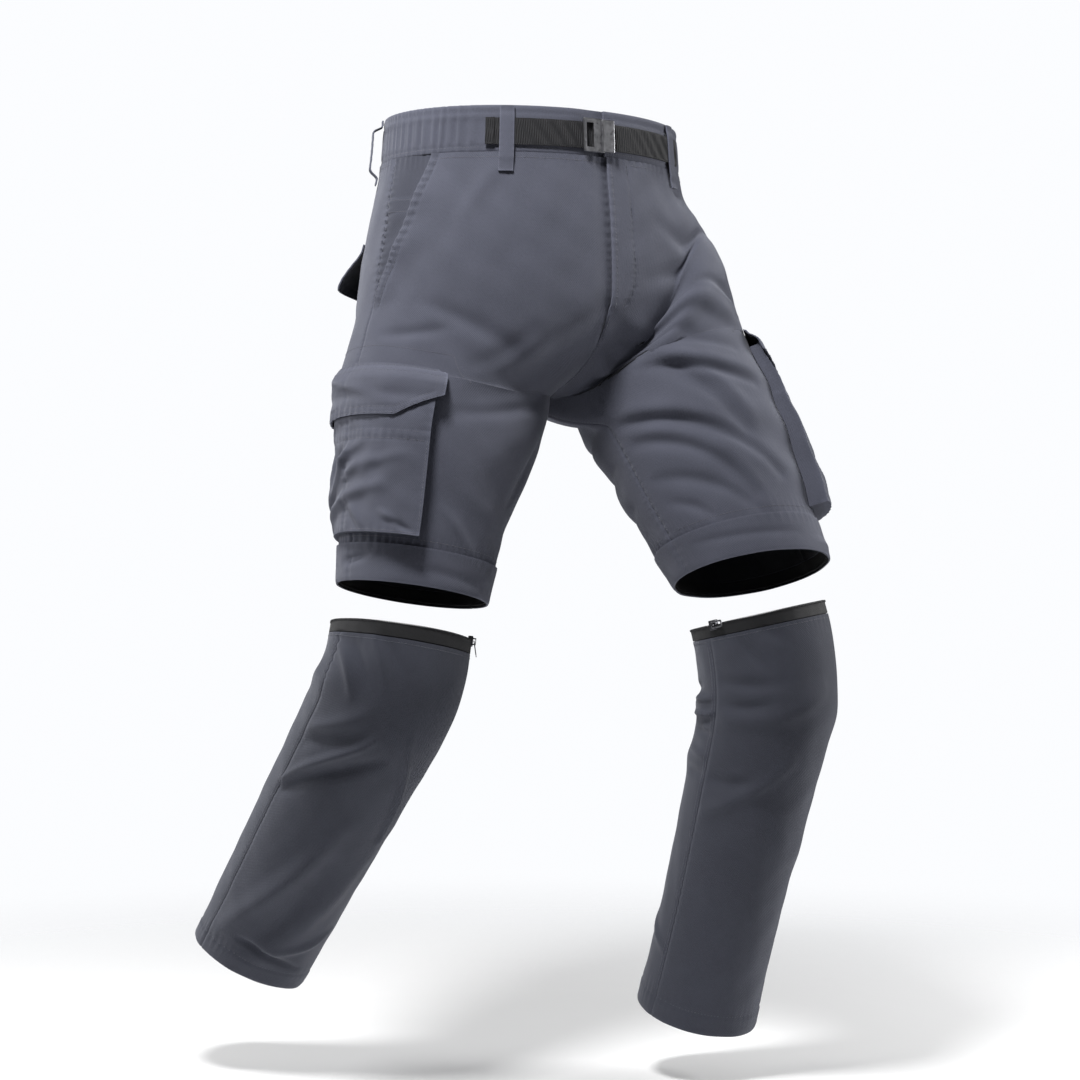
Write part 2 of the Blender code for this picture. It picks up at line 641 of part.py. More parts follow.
def cargo_pocket(side):
    """An open-topped pocket with gussets, as an outer skin and an inner one set in by the cloth."""
    half = POCKET["half"]
    top, bottom = POCKET["v"]
    inset = CLOTH / PANEL_WIDTH
    face = side_lines(1.0 - half, 1.0 + half)
    rows = lines_between(PANEL_ROWS, top, bottom)
    skins = []
    for step in (0.0, 1.0):
        low = 1.0 - half + step * inset
        high = 1.0 + half - step * inset
        columns = np.array([low, low, *np.clip(face, low, high), high, high])
        rise_a = np.array([0.0, 0.5, *np.ones(len(face)), 0.5, 0.0])
        end = bottom - step * CLOTH
        downs = np.array([*np.minimum(rows, end), end, end])
        rise_v = np.array([*np.ones(len(rows)), 0.5, 0.0])
        a, v = np.meshgrid(columns, downs)
        share = np.minimum(rise_a[None, :], rise_v[:, None])
        height = POCKET["foot"] + share * (pocket_depth(a, v) - step * CLOTH)
        base = shorts(side, a, v)
        skins.append(base + outward(shorts, side, a, v) * height[..., None])
    wall(f"cargo_pocket_{SIDE_NAME[side]}", skins[0], skins[1], "cloth")


def cargo_flap(side):
    half = FLAP["half"]
    top, bottom = FLAP["v"]
    a = side_lines(1.0 - half, 1.0 + half)[None, :]
    ramp = np.clip((a - (1.0 - half)) / (FLAP["chamfer_a"] - (1.0 - half)), 0.0, 1.0)
    low = FLAP["chamfer_v"] + (bottom - FLAP["chamfer_v"]) * ramp
    t = np.linspace(0.0, 1.0, 6)[:, None]
    v = top + (low - top) * t
    out = pocket_depth(a, v) + FLAP["clear"]
    lift = POCKET["foot"] + CLOTH + out * smooth(top, top + FLAP["fold"], v)
    cloth(f"cargo_flap_{SIDE_NAME[side]}", "cloth", shorts, side, a, v, lift)


KNEE_ROWS = (0.4142, 0.425, PANEL_END, 0.444, HEM)
KNEE_LIFT = 0.0005
THIGH_TAPE_ROWS = (PANEL_END + 0.0004, 0.4425, 0.4485)


def knee(side):
    a = np.concatenate([FRONT_LINES[:-1], BACK_LINES[:-1]])[None, :]
    rows = np.array(KNEE_ROWS)[:, None]
    cloth(f"knee_band_{SIDE_NAME[side]}", "cloth", shorts, side, a, rows, KNEE_LIFT + KNEE_BAND_CLOTH,
          KNEE_BAND_CLOTH, wrap=True)
    tape = np.array(THIGH_TAPE_ROWS)[:, None]
    cloth(f"thigh_zip_{SIDE_NAME[side]}", "tape", shorts, side, a, tape, 0.0, TAPE, wrap=True)


LOWER_SEAM = 1.3 * SEAM
LOWER_FRONT_LINES = np.linspace(0.0, 1.0, 13)
LOWER_ROWS = np.array([LEG_TAPE + GAP, 0.030, 0.048, 0.066, 0.084, 0.102, 0.122, 0.144, 0.168, 0.194,
                       0.222, 0.250, 0.280, 0.310, 0.340, 0.370, 0.400, LOWER_LENGTH])


def lower_leg(side):
    for name, start in (("front", 0.0), ("back", 1.0)):
        a = LOWER_FRONT_LINES + start
        a[0] += LOWER_SEAM
        a[-1] -= LOWER_SEAM
        cloth(f"lower_{name}_{SIDE_NAME[side]}", "lower_cloth", lower, side, a[None, :], LOWER_ROWS[:, None])
    ring = np.concatenate([LOWER_FRONT_LINES[:-1], LOWER_FRONT_LINES[:-1] + 1.0])[None, :]
    tape = np.array([0.0, LEG_TAPE / 2, LEG_TAPE])[:, None]
    cloth(f"leg_zip_{SIDE_NAME[side]}", "tape", lower, side, ring, tape, 0.0, TAPE, wrap=True)


def frame_at(point, across, away):
    """A placing whose X runs across, Y runs up and Z points away from the cloth."""
    away = unit(away)
    across = unit(across - away * (across @ away))
    rows = np.identity(4)
    rows[:3, 0] = across
    rows[:3, 1] = np.cross(away, across)
    rows[:3, 2] = away
    rows[:3, 3] = point
    return Matrix(rows.tolist())


def block(name, size, centre, placing, material, collection=GARMENT, bevel=0.0):
    shape = bmesh.new()
    bmesh.ops.create_cube(shape, size=1.0)
    bmesh.ops.scale(shape, vec=size, verts=shape.verts)
    bmesh.ops.translate(shape, vec=centre, verts=shape.verts)
    mesh = bpy.data.meshes.new(name)
    shape.to_mesh(mesh)
    shape.free()
    mesh.transform(placing)
    obj = add_object(name, mesh, material, collection)
    if bevel > 0.0:
        add_bevel(obj, bevel)
    return obj


def add_bevel(obj, width, segments=2):
    bevel = obj.modifiers.new("rounding", "BEVEL")
    bevel.width = width
    bevel.segments = segments
    bevel.limit_method = "ANGLE"


def plate(name, size, corner, centre, placing, material, collection=GARMENT):
    """A flat block with its four upright edges rounded."""
    shape = bmesh.new()
    bmesh.ops.create_cube(shape, size=1.0)
    bmesh.ops.scale(shape, vec=size, verts=shape.verts)
    upright = [edge for edge in shape.edges if abs(edge.verts[0].co.z - edge.verts[1].co.z) > size[2] / 2]
    bmesh.ops.bevel(shape, geom=upright, offset=corner, segments=4, profile=0.5, affect="EDGES")
    bmesh.ops.translate(shape, vec=centre, verts=shape.verts)
    mesh = bpy.data.meshes.new(name)
    shape.to_mesh(mesh)
    shape.free()
    mesh.transform(placing)
    return add_object(name, mesh, material, collection)


def combine(obj, other, operation):
    join = obj.modifiers.new(operation.lower(), "BOOLEAN")
    join.operation = operation
    join.solver = "EXACT"
    join.object = other


def buckle():
    """A hook buckle: a loop with a slot on the wearer's right, under a plate on the left."""
    turn = np.array(BELT_BUCKLE)
    middle = np.array((BELT_ROWS[0] + BELT_ROWS[1]) / 2)
    across = band(turn + 0.5, middle) - band(turn - 0.5, middle)
    point = band(turn, middle)
    away = band_outward(turn, middle)
    placing = frame_at(point + away * BUCKLE["stand"], across, away)
    half = BUCKLE["width"] / 2
    frame = block("belt_buckle", (BUCKLE["frame_width"], BUCKLE["height"], BUCKLE["frame"]),
                  (BUCKLE["frame_width"] / 2 - half, 0.0, BUCKLE["frame"] / 2), placing, "metal",
                  bevel=BUCKLE["frame_edge"])
    slot = block("cut_buckle_slot", (BUCKLE["slot_width"], BUCKLE["slot_height"], CUT),
                 (BUCKLE["slot_at"] - half, 0.0, 0.0), placing, "metal", CUTTERS)
    combine(frame, slot, "DIFFERENCE")
    plate_middle = (half - BUCKLE["plate_width"] / 2, 0.0, BUCKLE["plate"] / 2 + BUCKLE["plate_rise"])
    hook = block("cut_buckle_plate", (BUCKLE["plate_width"], BUCKLE["plate_height"], BUCKLE["plate"]),
                 plate_middle, placing, "metal", CUTTERS, BUCKLE["plate_edge"])
    combine(frame, hook, "UNION")


def zip_ends(side):
    """The slider on the tape's upper edge, and the pull that hangs in its bridge."""
    spec = ZIPS[side]
    ends = LOWER_FRONT_LINES[spec["facet"] : spec["facet"] + 2]
    edge = lower(side, ends, 0.0)
    away = outward(lower, side, ends.mean(), 0.002)
    placing = frame_at(edge.mean(axis=0) - away * TAPE / 2, side * (edge[1] - edge[0]), away)
    shell = block(f"zip_slider_{SIDE_NAME[side]}", (SLIDER["along"], SLIDER["down"], SLIDER["thick"]),
                  (0.0, 0.0, 0.0), placing, "metal", bevel=SLIDER["edge"])
    slot_centre = (0.0, SLIDER["slot_top"] - CUT / 2, 0.0)
    slot = block(f"cut_slider_slot_{SIDE_NAME[side]}", (CUT, CUT, SLIDER["slot"]), slot_centre, placing,
                 "metal", CUTTERS)
    combine(shell, slot, "DIFFERENCE")
    face = SLIDER["thick"] / 2
    turn = Matrix.Rotation(math.radians(spec["turn"]), 4, "Z")
    bridge_place = placing @ turn
    bridge_size = (BRIDGE["along"], BRIDGE["down"], BRIDGE["rise"] + BRIDGE["sunk"])
    bridge = block(f"cut_bridge_{SIDE_NAME[side]}", bridge_size,
                   (0.0, 0.0, face + (BRIDGE["rise"] - BRIDGE["sunk"]) / 2), bridge_place, "metal", CUTTERS)
    tunnel = block(f"cut_tunnel_{SIDE_NAME[side]}",
                   (CUT, BRIDGE["down"] - 2 * BRIDGE["leg"], BRIDGE["rise"] - BRIDGE["slab"]),
                   (0.0, 0.0, face + (BRIDGE["rise"] - BRIDGE["slab"]) / 2), bridge_place, "metal", CUTTERS)
    combine(bridge, tunnel, "DIFFERENCE")
    combine(shell, bridge, "UNION")
    rest = Matrix.Rotation(math.radians(-spec["lift"]), 4, "X")
    bar_height = face + (BRIDGE["rise"] - BRIDGE["slab"]) / 2
    pull_place = bridge_place @ Matrix.Translation((0.0, 0.0, bar_height)) @ rest
    drop = (PULL["bar"] - PULL["length"]) / 2
    pull = plate(f"zip_pull_{SIDE_NAME[side]}", (PULL["width"], PULL["length"], PULL["thick"]),
                 PULL["corner"], (0.0, drop, 0.0), pull_place, "metal")
    hole_length = PULL["length"] - 2 * PULL["bar"]
    hole = plate(f"cut_pull_hole_{SIDE_NAME[side]}", (PULL["hole"], hole_length, CUT),
                 PULL["corner"] / 2, (0.0, drop, 0.0), pull_place, "metal", CUTTERS)
    combine(pull, hole, "DIFFERENCE")
    hinge = bridge_place @ Matrix.Translation((0.0, 0.0, bar_height))
    print(SIDE_NAME[side], "pull hinge at", [round(x, 5) for x in hinge.translation],
          "axis", [round(x, 4) for x in hinge.to_3x3().col[0]])


waistband()
belt()
belt_loops()
buckle()
for side_sign in (-1, 1):
    front_panel(side_sign)
    back_panel(side_sign)
    pocket_facing(side_sign)
    back_flap(side_sign)
    cargo_pocket(side_sign)
    cargo_flap(side_sign)
    knee(side_sign)
    lower_leg(side_sign)
    zip_ends(side_sign)
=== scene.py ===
# %% [markdown]
# # Convertible zip-off trousers
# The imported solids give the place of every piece. Each cloth piece is remade here on the same surface,
# as a thin shell fine enough for creases, puckers and stitches, and the hard parts get real finishes.

# %% Load the frame
import math

import bpy
import numpy as np
from mathutils import Matrix


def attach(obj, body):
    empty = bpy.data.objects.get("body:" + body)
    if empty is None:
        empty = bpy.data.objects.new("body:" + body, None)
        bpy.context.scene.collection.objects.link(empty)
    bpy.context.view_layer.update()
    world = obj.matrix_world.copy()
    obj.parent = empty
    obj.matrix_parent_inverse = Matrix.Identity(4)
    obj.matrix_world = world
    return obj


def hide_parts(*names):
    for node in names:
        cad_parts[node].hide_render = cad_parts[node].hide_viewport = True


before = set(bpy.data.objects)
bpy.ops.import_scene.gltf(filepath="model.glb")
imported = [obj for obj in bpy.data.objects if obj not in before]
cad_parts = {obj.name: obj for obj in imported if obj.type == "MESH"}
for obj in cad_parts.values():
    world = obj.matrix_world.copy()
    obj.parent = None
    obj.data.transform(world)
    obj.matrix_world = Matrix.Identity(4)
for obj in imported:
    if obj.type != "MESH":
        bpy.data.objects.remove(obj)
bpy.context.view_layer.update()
SHORTS_BODY = "trousers"
print("packed nodes:", len(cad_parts))

# %% [markdown]
# ## Camera, floor and light
# The photograph looks level at the middle of the garment, from 37 degrees round to the wearer's right.
# A long lens from 2.6 m keeps both legs in proportion. Two soft lights stand at the sides, so that the
# edges of each leg catch light, and a smaller one above and in front shows the folds. A white world
# alone would light the garment from everywhere and hide each crease, so only the camera sees it white.

# %% Camera
VIEW = np.array([0.6, 0.8, 0.0])
RIGHT = np.array([0.8, -0.6, 0.0])
CAMERA_DISTANCE = 2.6
SENSOR = 36.0
FOCAL_PIXELS = 2500.0
PHOTO_PIXELS = 1080.0
CAMERA_AIM = RIGHT * 0.0083 + np.array([0.0, 0.0, -0.402])


def look_along(place, way):
    """A matrix that puts a camera or light at a place, looking along a direction."""
    way = np.asarray(way, float) / np.linalg.norm(way)
    across = np.cross(way, (0.0, 0.0, 1.0))
    across /= np.linalg.norm(across)
    up = np.cross(across, way)
    rows = np.identity(4)
    rows[:3, 0], rows[:3, 1], rows[:3, 2], rows[:3, 3] = across, up, -way, place
    return Matrix(rows.tolist())


lens = bpy.data.cameras.new("studio_camera")
lens.sensor_width = SENSOR
lens.lens = SENSOR * FOCAL_PIXELS / PHOTO_PIXELS
camera = bpy.data.objects.new("studio_camera", lens)
camera.matrix_world = look_along(CAMERA_AIM - VIEW * CAMERA_DISTANCE, VIEW)
bpy.context.scene.collection.objects.link(camera)
bpy.context.scene.camera = camera
bpy.context.scene.view_settings.view_transform = "Standard"
print("camera at", [round(x, 3) for x in camera.matrix_world.translation])

# %% Soft lights and a white room
LIGHT_COLUMNS = ("name", "right", "toward", "up", "size", "watts")
LIGHTS = (
    ("softbox_left", -1.6, -0.20, 0.35, 0.8, 15.0),
    ("softbox_right", 1.6, -0.3, 0.35, 0.8, 20.0),
    ("softbox_above", -0.30, 0.80, 1.30, 0.36, 29.0),
)
ROOM_LIGHT = 0.13
ROOM_COLOUR = (0.97, 0.98, 1.0, 1.0)
for row in LIGHTS:
    spec = dict(zip(LIGHT_COLUMNS, row))
    lamp = bpy.data.lights.new(spec["name"], "AREA")
    lamp.shape = "DISK"
    lamp.size = spec["size"]
    lamp.energy = spec["watts"]
    holder = bpy.data.objects.new(spec["name"], lamp)
    place = CAMERA_AIM + RIGHT * spec["right"] - VIEW * spec["toward"] + np.array([0.0, 0.0, spec["up"]])
    holder.matrix_world = look_along(place, CAMERA_AIM - place)
    bpy.context.scene.collection.objects.link(holder)

room = bpy.data.worlds.new("white_room")
bpy.context.scene.world = room
room.use_nodes = True
air = room.node_tree.nodes
glow = air["Background"]
glow.inputs["Color"].default_value = ROOM_COLOUR
seen = air.new("ShaderNodeLightPath")
strength = air.new("ShaderNodeMapRange")
strength.inputs["To Min"].default_value = ROOM_LIGHT
strength.inputs["To Max"].default_value = 1.0
room.node_tree.links.new(seen.outputs["Is Camera Ray"], strength.inputs["Value"])
room.node_tree.links.new(strength.outputs["Result"], glow.inputs["Strength"])

# %% [markdown]
# ## Shader maths as plain sums
# A material's numbers flow from socket to socket. `Signal` wraps one output socket, so that a sum such
# as `1 - mask * 0.5` adds the Math nodes by itself. `Finish` holds one material and makes its nodes.

# %% Signals and finishes


class Signal:
    """A value that comes out of a shader socket."""

    def __init__(self, finish, socket):
        self.finish = finish
        self.socket = socket

    def __add__(self, other):
        return self.finish.math("ADD", self, other)

    __radd__ = __add__

    def __sub__(self, other):
        return self.finish.math("SUBTRACT", self, other)

    def __rsub__(self, other):
        return self.finish.math("SUBTRACT", other, self)

    def __mul__(self, other):
        return self.finish.math("MULTIPLY", self, other)

    __rmul__ = __mul__


class Finish:
    """One material: its Principled shader, and the nodes that feed it."""

    def __init__(self, name, **constants):
        self.material = bpy.data.materials.new(name)
        self.material.use_nodes = True
        self.tree = self.material.node_tree
        self.shader = self.tree.nodes["Principled BSDF"]
        for socket, value in constants.items():
            self.shader.inputs[socket.replace("_", " ")].default_value = value

    def node(self, kind, settings, sockets, out=0):
        """A node with its settings made first, then its sockets given values or links."""
        made = self.tree.nodes.new(kind)
        for key, value in settings.items():
            setattr(made, key, value)
        for key, value in sockets.items():
            if isinstance(value, Signal):
                self.tree.links.new(value.socket, made.inputs[key])
            else:
                made.inputs[key].default_value = value
        return Signal(self, made.outputs[out])

    def math(self, operation, *values):
        return self.node("ShaderNodeMath", {"operation": operation}, dict(enumerate(values)))

    def mix(self, factor, first, second):
        """A colour between two others."""
        colours = {0: factor, 6: first, 7: second}
        return self.node("ShaderNodeMix", {"data_type": "RGBA"}, colours, out=2)

    def noise(self, where, scale, detail=2.0, rough=0.5):
        sockets = {"Vector": where, "Scale": scale, "Detail": detail, "Roughness": rough}
        return self.node("ShaderNodeTexNoise", {}, sockets)

    def place(self):
        """Where a point is on the object, in metres."""
        return self.node("ShaderNodeTexCoord", {}, {}, out="Object")

    def bump(self, strength, distance, height):
        sockets = {"Strength": strength, "Distance": distance, "Height": height}
        return self.node("ShaderNodeBump", {}, sockets)

    def part(self, vector, axis):
        return self.node("ShaderNodeSeparateXYZ", {}, {0: vector}, out="XYZ".index(axis))

    def value_of(self, attribute):
        return self.node("ShaderNodeAttribute", {"attribute_name": attribute}, {}, out="Fac")

    def feed(self, **links):
        for socket, signal in links.items():
            self.tree.links.new(signal.socket, self.shader.inputs[socket.replace("_", " ")])
        return self.material

# %% [markdown]
# ## Cloth, webbing, tape, thread and metal
# The trousers are a cotton canvas: two sets of yarns a millimetre apart, dyed slate grey and washed, so
# the colour is a little lighter where the cloth stands up along seams. Each shell carries a UV map in
# metres, which puts the yarns at their true pitch, and a `wear` value that is high on worn edges.

# %% Colours


def rgba(colour, factor=1.0):
    return (colour[0] * factor, colour[1] * factor, colour[2] * factor, 1.0)


YARN = 0.0011
SLATE = (0.076, 0.080, 0.107)

# %% Canvas
def canvas(name, colour, worn=1.45, grain=0.24):
    """Woven cloth with uneven yarns, patches of wear and a soft sheen."""
    cloth = Finish(name, Sheen_Weight=0.22, Sheen_Roughness=0.45, Specular_IOR_Level=0.28)
    cloth.shader.inputs["Sheen Tint"].default_value = (0.78, 0.80, 0.88, 1.0)
    flat = cloth.node("ShaderNodeUVMap", {"uv_map": "cloth"}, {})
    space = cloth.place()
    uneven = cloth.noise(space, 160.0, 1.0)
    along_weft = (cloth.part(flat, "X") + uneven * (YARN * 0.7)) * (math.pi / YARN)
    along_warp = (cloth.part(flat, "Y") + uneven * (YARN * 0.5)) * (math.pi / YARN)
    weave = cloth.math("SINE", along_weft) * cloth.math("SINE", along_warp)
    twill = cloth.math("SINE", along_weft + along_warp)
    slub = cloth.noise(space, 900.0, 2.0)
    patches = cloth.noise(space, 24.0, 3.0)
    shade = 0.5 + (slub - 0.5) * 1.3 + (patches - 0.5) * 0.5 + weave * 0.05 + twill * 0.05
    dyed = cloth.mix(shade, rgba(colour, 1.0 - grain), rgba(colour, 1.0 + grain))
    wear = cloth.math("MINIMUM", cloth.value_of("wear") * (0.55 + slub * 0.9), 1.0)
    colour_out = cloth.mix(wear, dyed, rgba(colour, worn))
    height = weave * 0.5 + twill * 0.35 + slub * 1.2
    bump = cloth.bump(0.75, 0.00026, height)
    return cloth.feed(Base_Color=colour_out, Roughness=0.78 + slub * 0.16, Normal=bump)

# %% [markdown]
# ### Webbing, tape and metal
# The belt is a ribbed webbing and the zip tapes are finer ribs of the same kind. Photographs of weave
# could be wrapped on, but sine waves along the UV map give ribs at their true pitch from any distance.
# The plated metal is one noise that moves colour and roughness together, as rubbing does.

# %% Webbing, tape and metal
def plain_dark(name, colour, roughness, pitch, depth):
    """A dull woven tape with fine cross ribs."""
    tape = Finish(name, Specular_IOR_Level=0.3, Sheen_Weight=0.08)
    flat = tape.node("ShaderNodeUVMap", {"uv_map": "cloth"}, {})
    space = tape.place()
    fluff = tape.noise(space, 700.0, 2.0)
    ribs = tape.math("SINE", tape.part(flat, "X") * (2.0 * math.pi / pitch) + fluff * 1.5)
    ticks = tape.math("SINE", tape.part(flat, "Y") * (2.0 * math.pi / (pitch * 0.55)))
    weave = ribs * 0.6 + ribs * ticks * 0.4
    shade = 0.5 + weave * 0.28 + (fluff - 0.5) * 0.8
    tone = tape.mix(shade, rgba(colour, 0.62), rgba(colour, 1.5))
    bump = tape.bump(0.8, depth, weave + fluff * 0.4)
    return tape.feed(Base_Color=tone, Roughness=roughness + fluff * 0.15, Normal=bump)


def worn_metal(name, colour, roughness):
    """Gun-metal plating, brushed by use and rubbed brighter in places."""
    metal = Finish(name, Metallic=1.0)
    space = metal.place()
    smear = metal.noise(space, 260.0, 4.0, 0.6)
    marks = metal.noise(space, 1500.0, 2.0)
    tone = metal.mix(smear, rgba(colour, 0.65), rgba(colour, 1.55))
    bump = metal.bump(0.25, 0.0001, marks)
    return metal.feed(Base_Color=tone, Roughness=roughness + (smear - 0.5) * 0.3 + marks * 0.06, Normal=bump)

# %% [markdown]
# ### The finishes of this garment
# The lower legs look darker than the shorts, because they turn away from the light. They get the same
# canvas in a darker colour, painted shade, which keeps their weave alike.

# %% The finishes
CLOTH_FINISH = canvas("slate_canvas", SLATE)
# The lower legs get the canvas in a darker colour: painted shade for legs that turn away from the light.
LOWER_PAINTED_SHADE_FINISH = canvas("lower_leg_canvas_painted_shade", (0.043, 0.046, 0.062))
# The pocket facing gets a darker colour: painted shade inside the pocket's mouth.
FACING_PAINTED_SHADE_FINISH = canvas("facing_canvas_painted_shade", (0.050, 0.053, 0.072), worn=1.6)
# Inner faces are nearly black: painted shade for the inside of the legs and pieces.
INSIDE_PAINTED_SHADE = canvas("canvas_inside_painted_shade", (0.016, 0.017, 0.021), worn=1.1)
WEBBING_FINISH = plain_dark("belt_webbing", (0.0105, 0.0105, 0.0125), 0.60, 0.0024, 0.0004)
TAPE_FINISH = plain_dark("zip_tape", (0.0075, 0.0075, 0.009), 0.62, 0.0012, 0.00015)
COIL_FINISH = plain_dark("zip_coil", (0.010, 0.010, 0.012), 0.35, 0.0006, 0.00005)
METAL_FINISH = worn_metal("gun_metal", (0.36, 0.36, 0.38), 0.30)
DARK_METAL = worn_metal("dark_metal", (0.10, 0.10, 0.11), 0.38)


def thread(name, colour):
    """Polyester thread, twisted from three strands."""
    strand = Finish(name, Roughness=0.55, Sheen_Weight=0.2)
    space = strand.place()
    tone = strand.mix(strand.noise(space, 1200.0, 1.0), rgba(colour, 0.8), rgba(colour, 1.2))
    return strand.feed(Base_Color=tone)


THREAD_FINISH = thread("slate_thread", (0.098, 0.102, 0.125))
print("finishes:", len(bpy.data.materials))

# %% [markdown]
# ## The garment's surfaces
# A point on the shorts has two coordinates. `a` goes round one half of the body, from 0 at the inner
# front edge, through 1 at the side seam, to 2 at the inner back edge, and `v` goes down the cloth in
# metres. Short tables of sections give the hips and thighs standing straight, then each thigh is turned
# about its hip. These are the same tables and functions that the solids were made from.

# %% Sections
# Cloth and gaps
CLOTH = 0.0015
BAND_CLOTH = 0.003
KNEE_BAND_CLOTH = 0.0018
TAPE_THICK = 0.0012
WEBBING_THICK = 0.0018
GAP = 0.0003

# Heights, as v in metres below the waistband's lower edge
BAND_DROP = 0.023
BLEND_TOP = 0.127
CROTCH = 0.232
PANEL_END = 0.436
HEM = 0.452

# Sections of the hips: v, half width, depth to the front, depth to the back
PELVIS_COLUMNS = ("v", "half_width", "front", "back")
PELVIS = (
    (-0.046, 0.166, 0.122, 0.118),
    (0.000, 0.170, 0.124, 0.122),
    (0.060, 0.181, 0.131, 0.138),
    (0.120, 0.190, 0.134, 0.150),
    (0.170, 0.193, 0.132, 0.152),
    (0.232, 0.194, 0.126, 0.146),
)

# Sections of each thigh, left (1) and right (-1): v, half width, front, back, centre out, centre back
THIGH_COLUMNS = ("v", "half_width", "front", "back", "out", "behind")
THIGH = {
    1: (
        (0.100, 0.0970, 0.1020, 0.1000, 0.0970, 0.005),
        (0.232, 0.0970, 0.1020, 0.1000, 0.0970, 0.005),
        (0.300, 0.0940, 0.0960, 0.0930, 0.0950, 0.000),
        (0.380, 0.0860, 0.0870, 0.0850, 0.0915, 0.000),
        (0.452, 0.0768, 0.0768, 0.0768, 0.0900, 0.000),
    ),
    -1: (
        (0.100, 0.0970, 0.1000, 0.1000, 0.0970, 0.005),
        (0.232, 0.0970, 0.1000, 0.1000, 0.0970, 0.005),
        (0.300, 0.0915, 0.0920, 0.0920, 0.0940, 0.000),
        (0.380, 0.0820, 0.0830, 0.0830, 0.0910, 0.000),
        (0.452, 0.0748, 0.0748, 0.0748, 0.0900, 0.000),
    ),
}

# Sections of each lower leg: distance down from its top, half width, front, back
LOWER_COLUMNS = ("down", "half_width", "front", "back")
LOWER = {
    1: (
        (0.000, 0.0695, 0.0700, 0.0700),
        (0.050, 0.0700, 0.0705, 0.0700),
        (0.120, 0.0675, 0.0680, 0.0670),
        (0.220, 0.0635, 0.0640, 0.0640),
        (0.340, 0.0610, 0.0615, 0.0615),
        (0.430, 0.0630, 0.0630, 0.0630),
    ),
    -1: (
        (0.000, 0.0705, 0.0705, 0.0705),
        (0.050, 0.0720, 0.0715, 0.0715),
        (0.120, 0.0710, 0.0700, 0.0700),
        (0.220, 0.0680, 0.0665, 0.0680),
        (0.340, 0.0650, 0.0635, 0.0650),
        (0.430, 0.0635, 0.0610, 0.0625),
    ),
}
LOWER_LENGTH = 0.430
LEG_TAPE = 0.012

# %% [markdown]
# ### The pose
# Worn trousers bend at hip and knee. An armature could bend them, but it would pinch the crotch. Here
# each thigh turns about its hip by an angle that fades out upwards, so the cloth stays one smooth sheet.

# %% Pose of each leg
# Directions are degrees forward and outward: of the thigh, of the lower leg's
# top and of the rest of it. `apart` moves the lower leg's top from the thigh's hem. `longer` drops
# a hem, and `skew` drops it on one side, at the given `a`, and raises it on the other.
HIP = (0.09, 0.0, -0.11)
THIGH_LENGTH = 0.365
POSE = {
    1: {
        "thigh": (28.2, 10.2),
        "knee": (10.5, 8.0),
        "lower": (-17.5, -1.6),
        "bend": 0.140,
        "apart": (-0.0030, -0.0127, -0.0426),
        "longer": 0.010,
        "skew": (0.020, 0.795),
        "lower_skew": (0.000, 0.000),
        "turn_from": (0.232, 0.000),
        "turn_to": (0.275, 0.170),
        "front_reach": 0.60,
        "back_reach": 0.55,
    },
    -1: {
        "thigh": (2.7, 11.6),
        "knee": (2.7, 11.6),
        "lower": (-38.0, 5.2),
        "bend": 0.095,
        "apart": (-0.0119, 0.0014, -0.0370),
        "longer": -0.011,
        "skew": (0.000, 0.000),
        "lower_skew": (-0.022, 0.705),
        "turn_from": (0.232, 0.060),
        "turn_to": (0.392, 0.270),
        "front_reach": 1.00,
        "back_reach": 1.00,
    },
}
SIDE_NAME = {1: "left", -1: "right"}
WAIST_RISE = 0.004

# Width of one unit of `a` in metres, for laying folds out
PANEL_WIDTH = 0.28

# %% [markdown]
# ### Broad folds
# The broadest folds are in the solids too. Each is a soft ridge along a line on the cloth, given by its
# two ends, because a table of lines is easy to set against the photograph and to change one by one.

# %% Tables of folds
# Fuller places: side, a and v of the middle, half spans in a and v, height
FILL_COLUMNS = ("side", "a", "v", "span_a", "span_v", "height")
FILLS = ((1, 0.72, 0.105, 0.42, 0.085, 0.021),)

# Folds by side: a and v of both ends, bow, half width, height. The first and third are hundredths of
# `a`, the others are millimetres.
LINE_UNITS = (0.01, 0.001, 0.01, 0.001, 0.001, 0.001, 0.001)
FOLDS = {
    1: (
        (10, 225, 80, 300, 0, 20, 4.5), (12, 275, 86, 350, 0, 20, 5), (15, 325, 80, 392, 0, 18, 4),
        (14, 170, 62, 225, 0, 18, 3.5), (195, 300, 135, 215, 0, 22, 4.5),
        (190, 360, 130, 290, 0, 20, 3.5),
    ),
    -1: (
        (10, 215, 55, 330, 0, 22, 2.5), (15, 150, 60, 205, 0, 20, 2.5), (190, 235, 140, 330, 0, 22, 4),
        (188, 290, 145, 385, 0, 20, 3.5),
    ),
}
LOWER_FOLDS = {
    1: (
        (10, 60, 90, 100, 0, 16, 3.5), (15, 180, 80, 240, 0, 18, 3), (192, 90, 130, 120, 0, 14, 4),
        (190, 160, 140, 170, 0, 14, 3.5),
    ),
    -1: (
        (75, 30, 125, 80, 0, 16, 4), (30, 190, 70, 420, 0, 18, 3.5), (180, 70, 125, 110, 0, 14, 4),
        (175, 150, 130, 160, 0, 14, 3.5),
    ),
}

# %% Smooth tables and turns
def smooth(low, high, x):
    t = np.clip((x - low) / (high - low), 0.0, 1.0)
    return t * t * (3.0 - 2.0 * t)


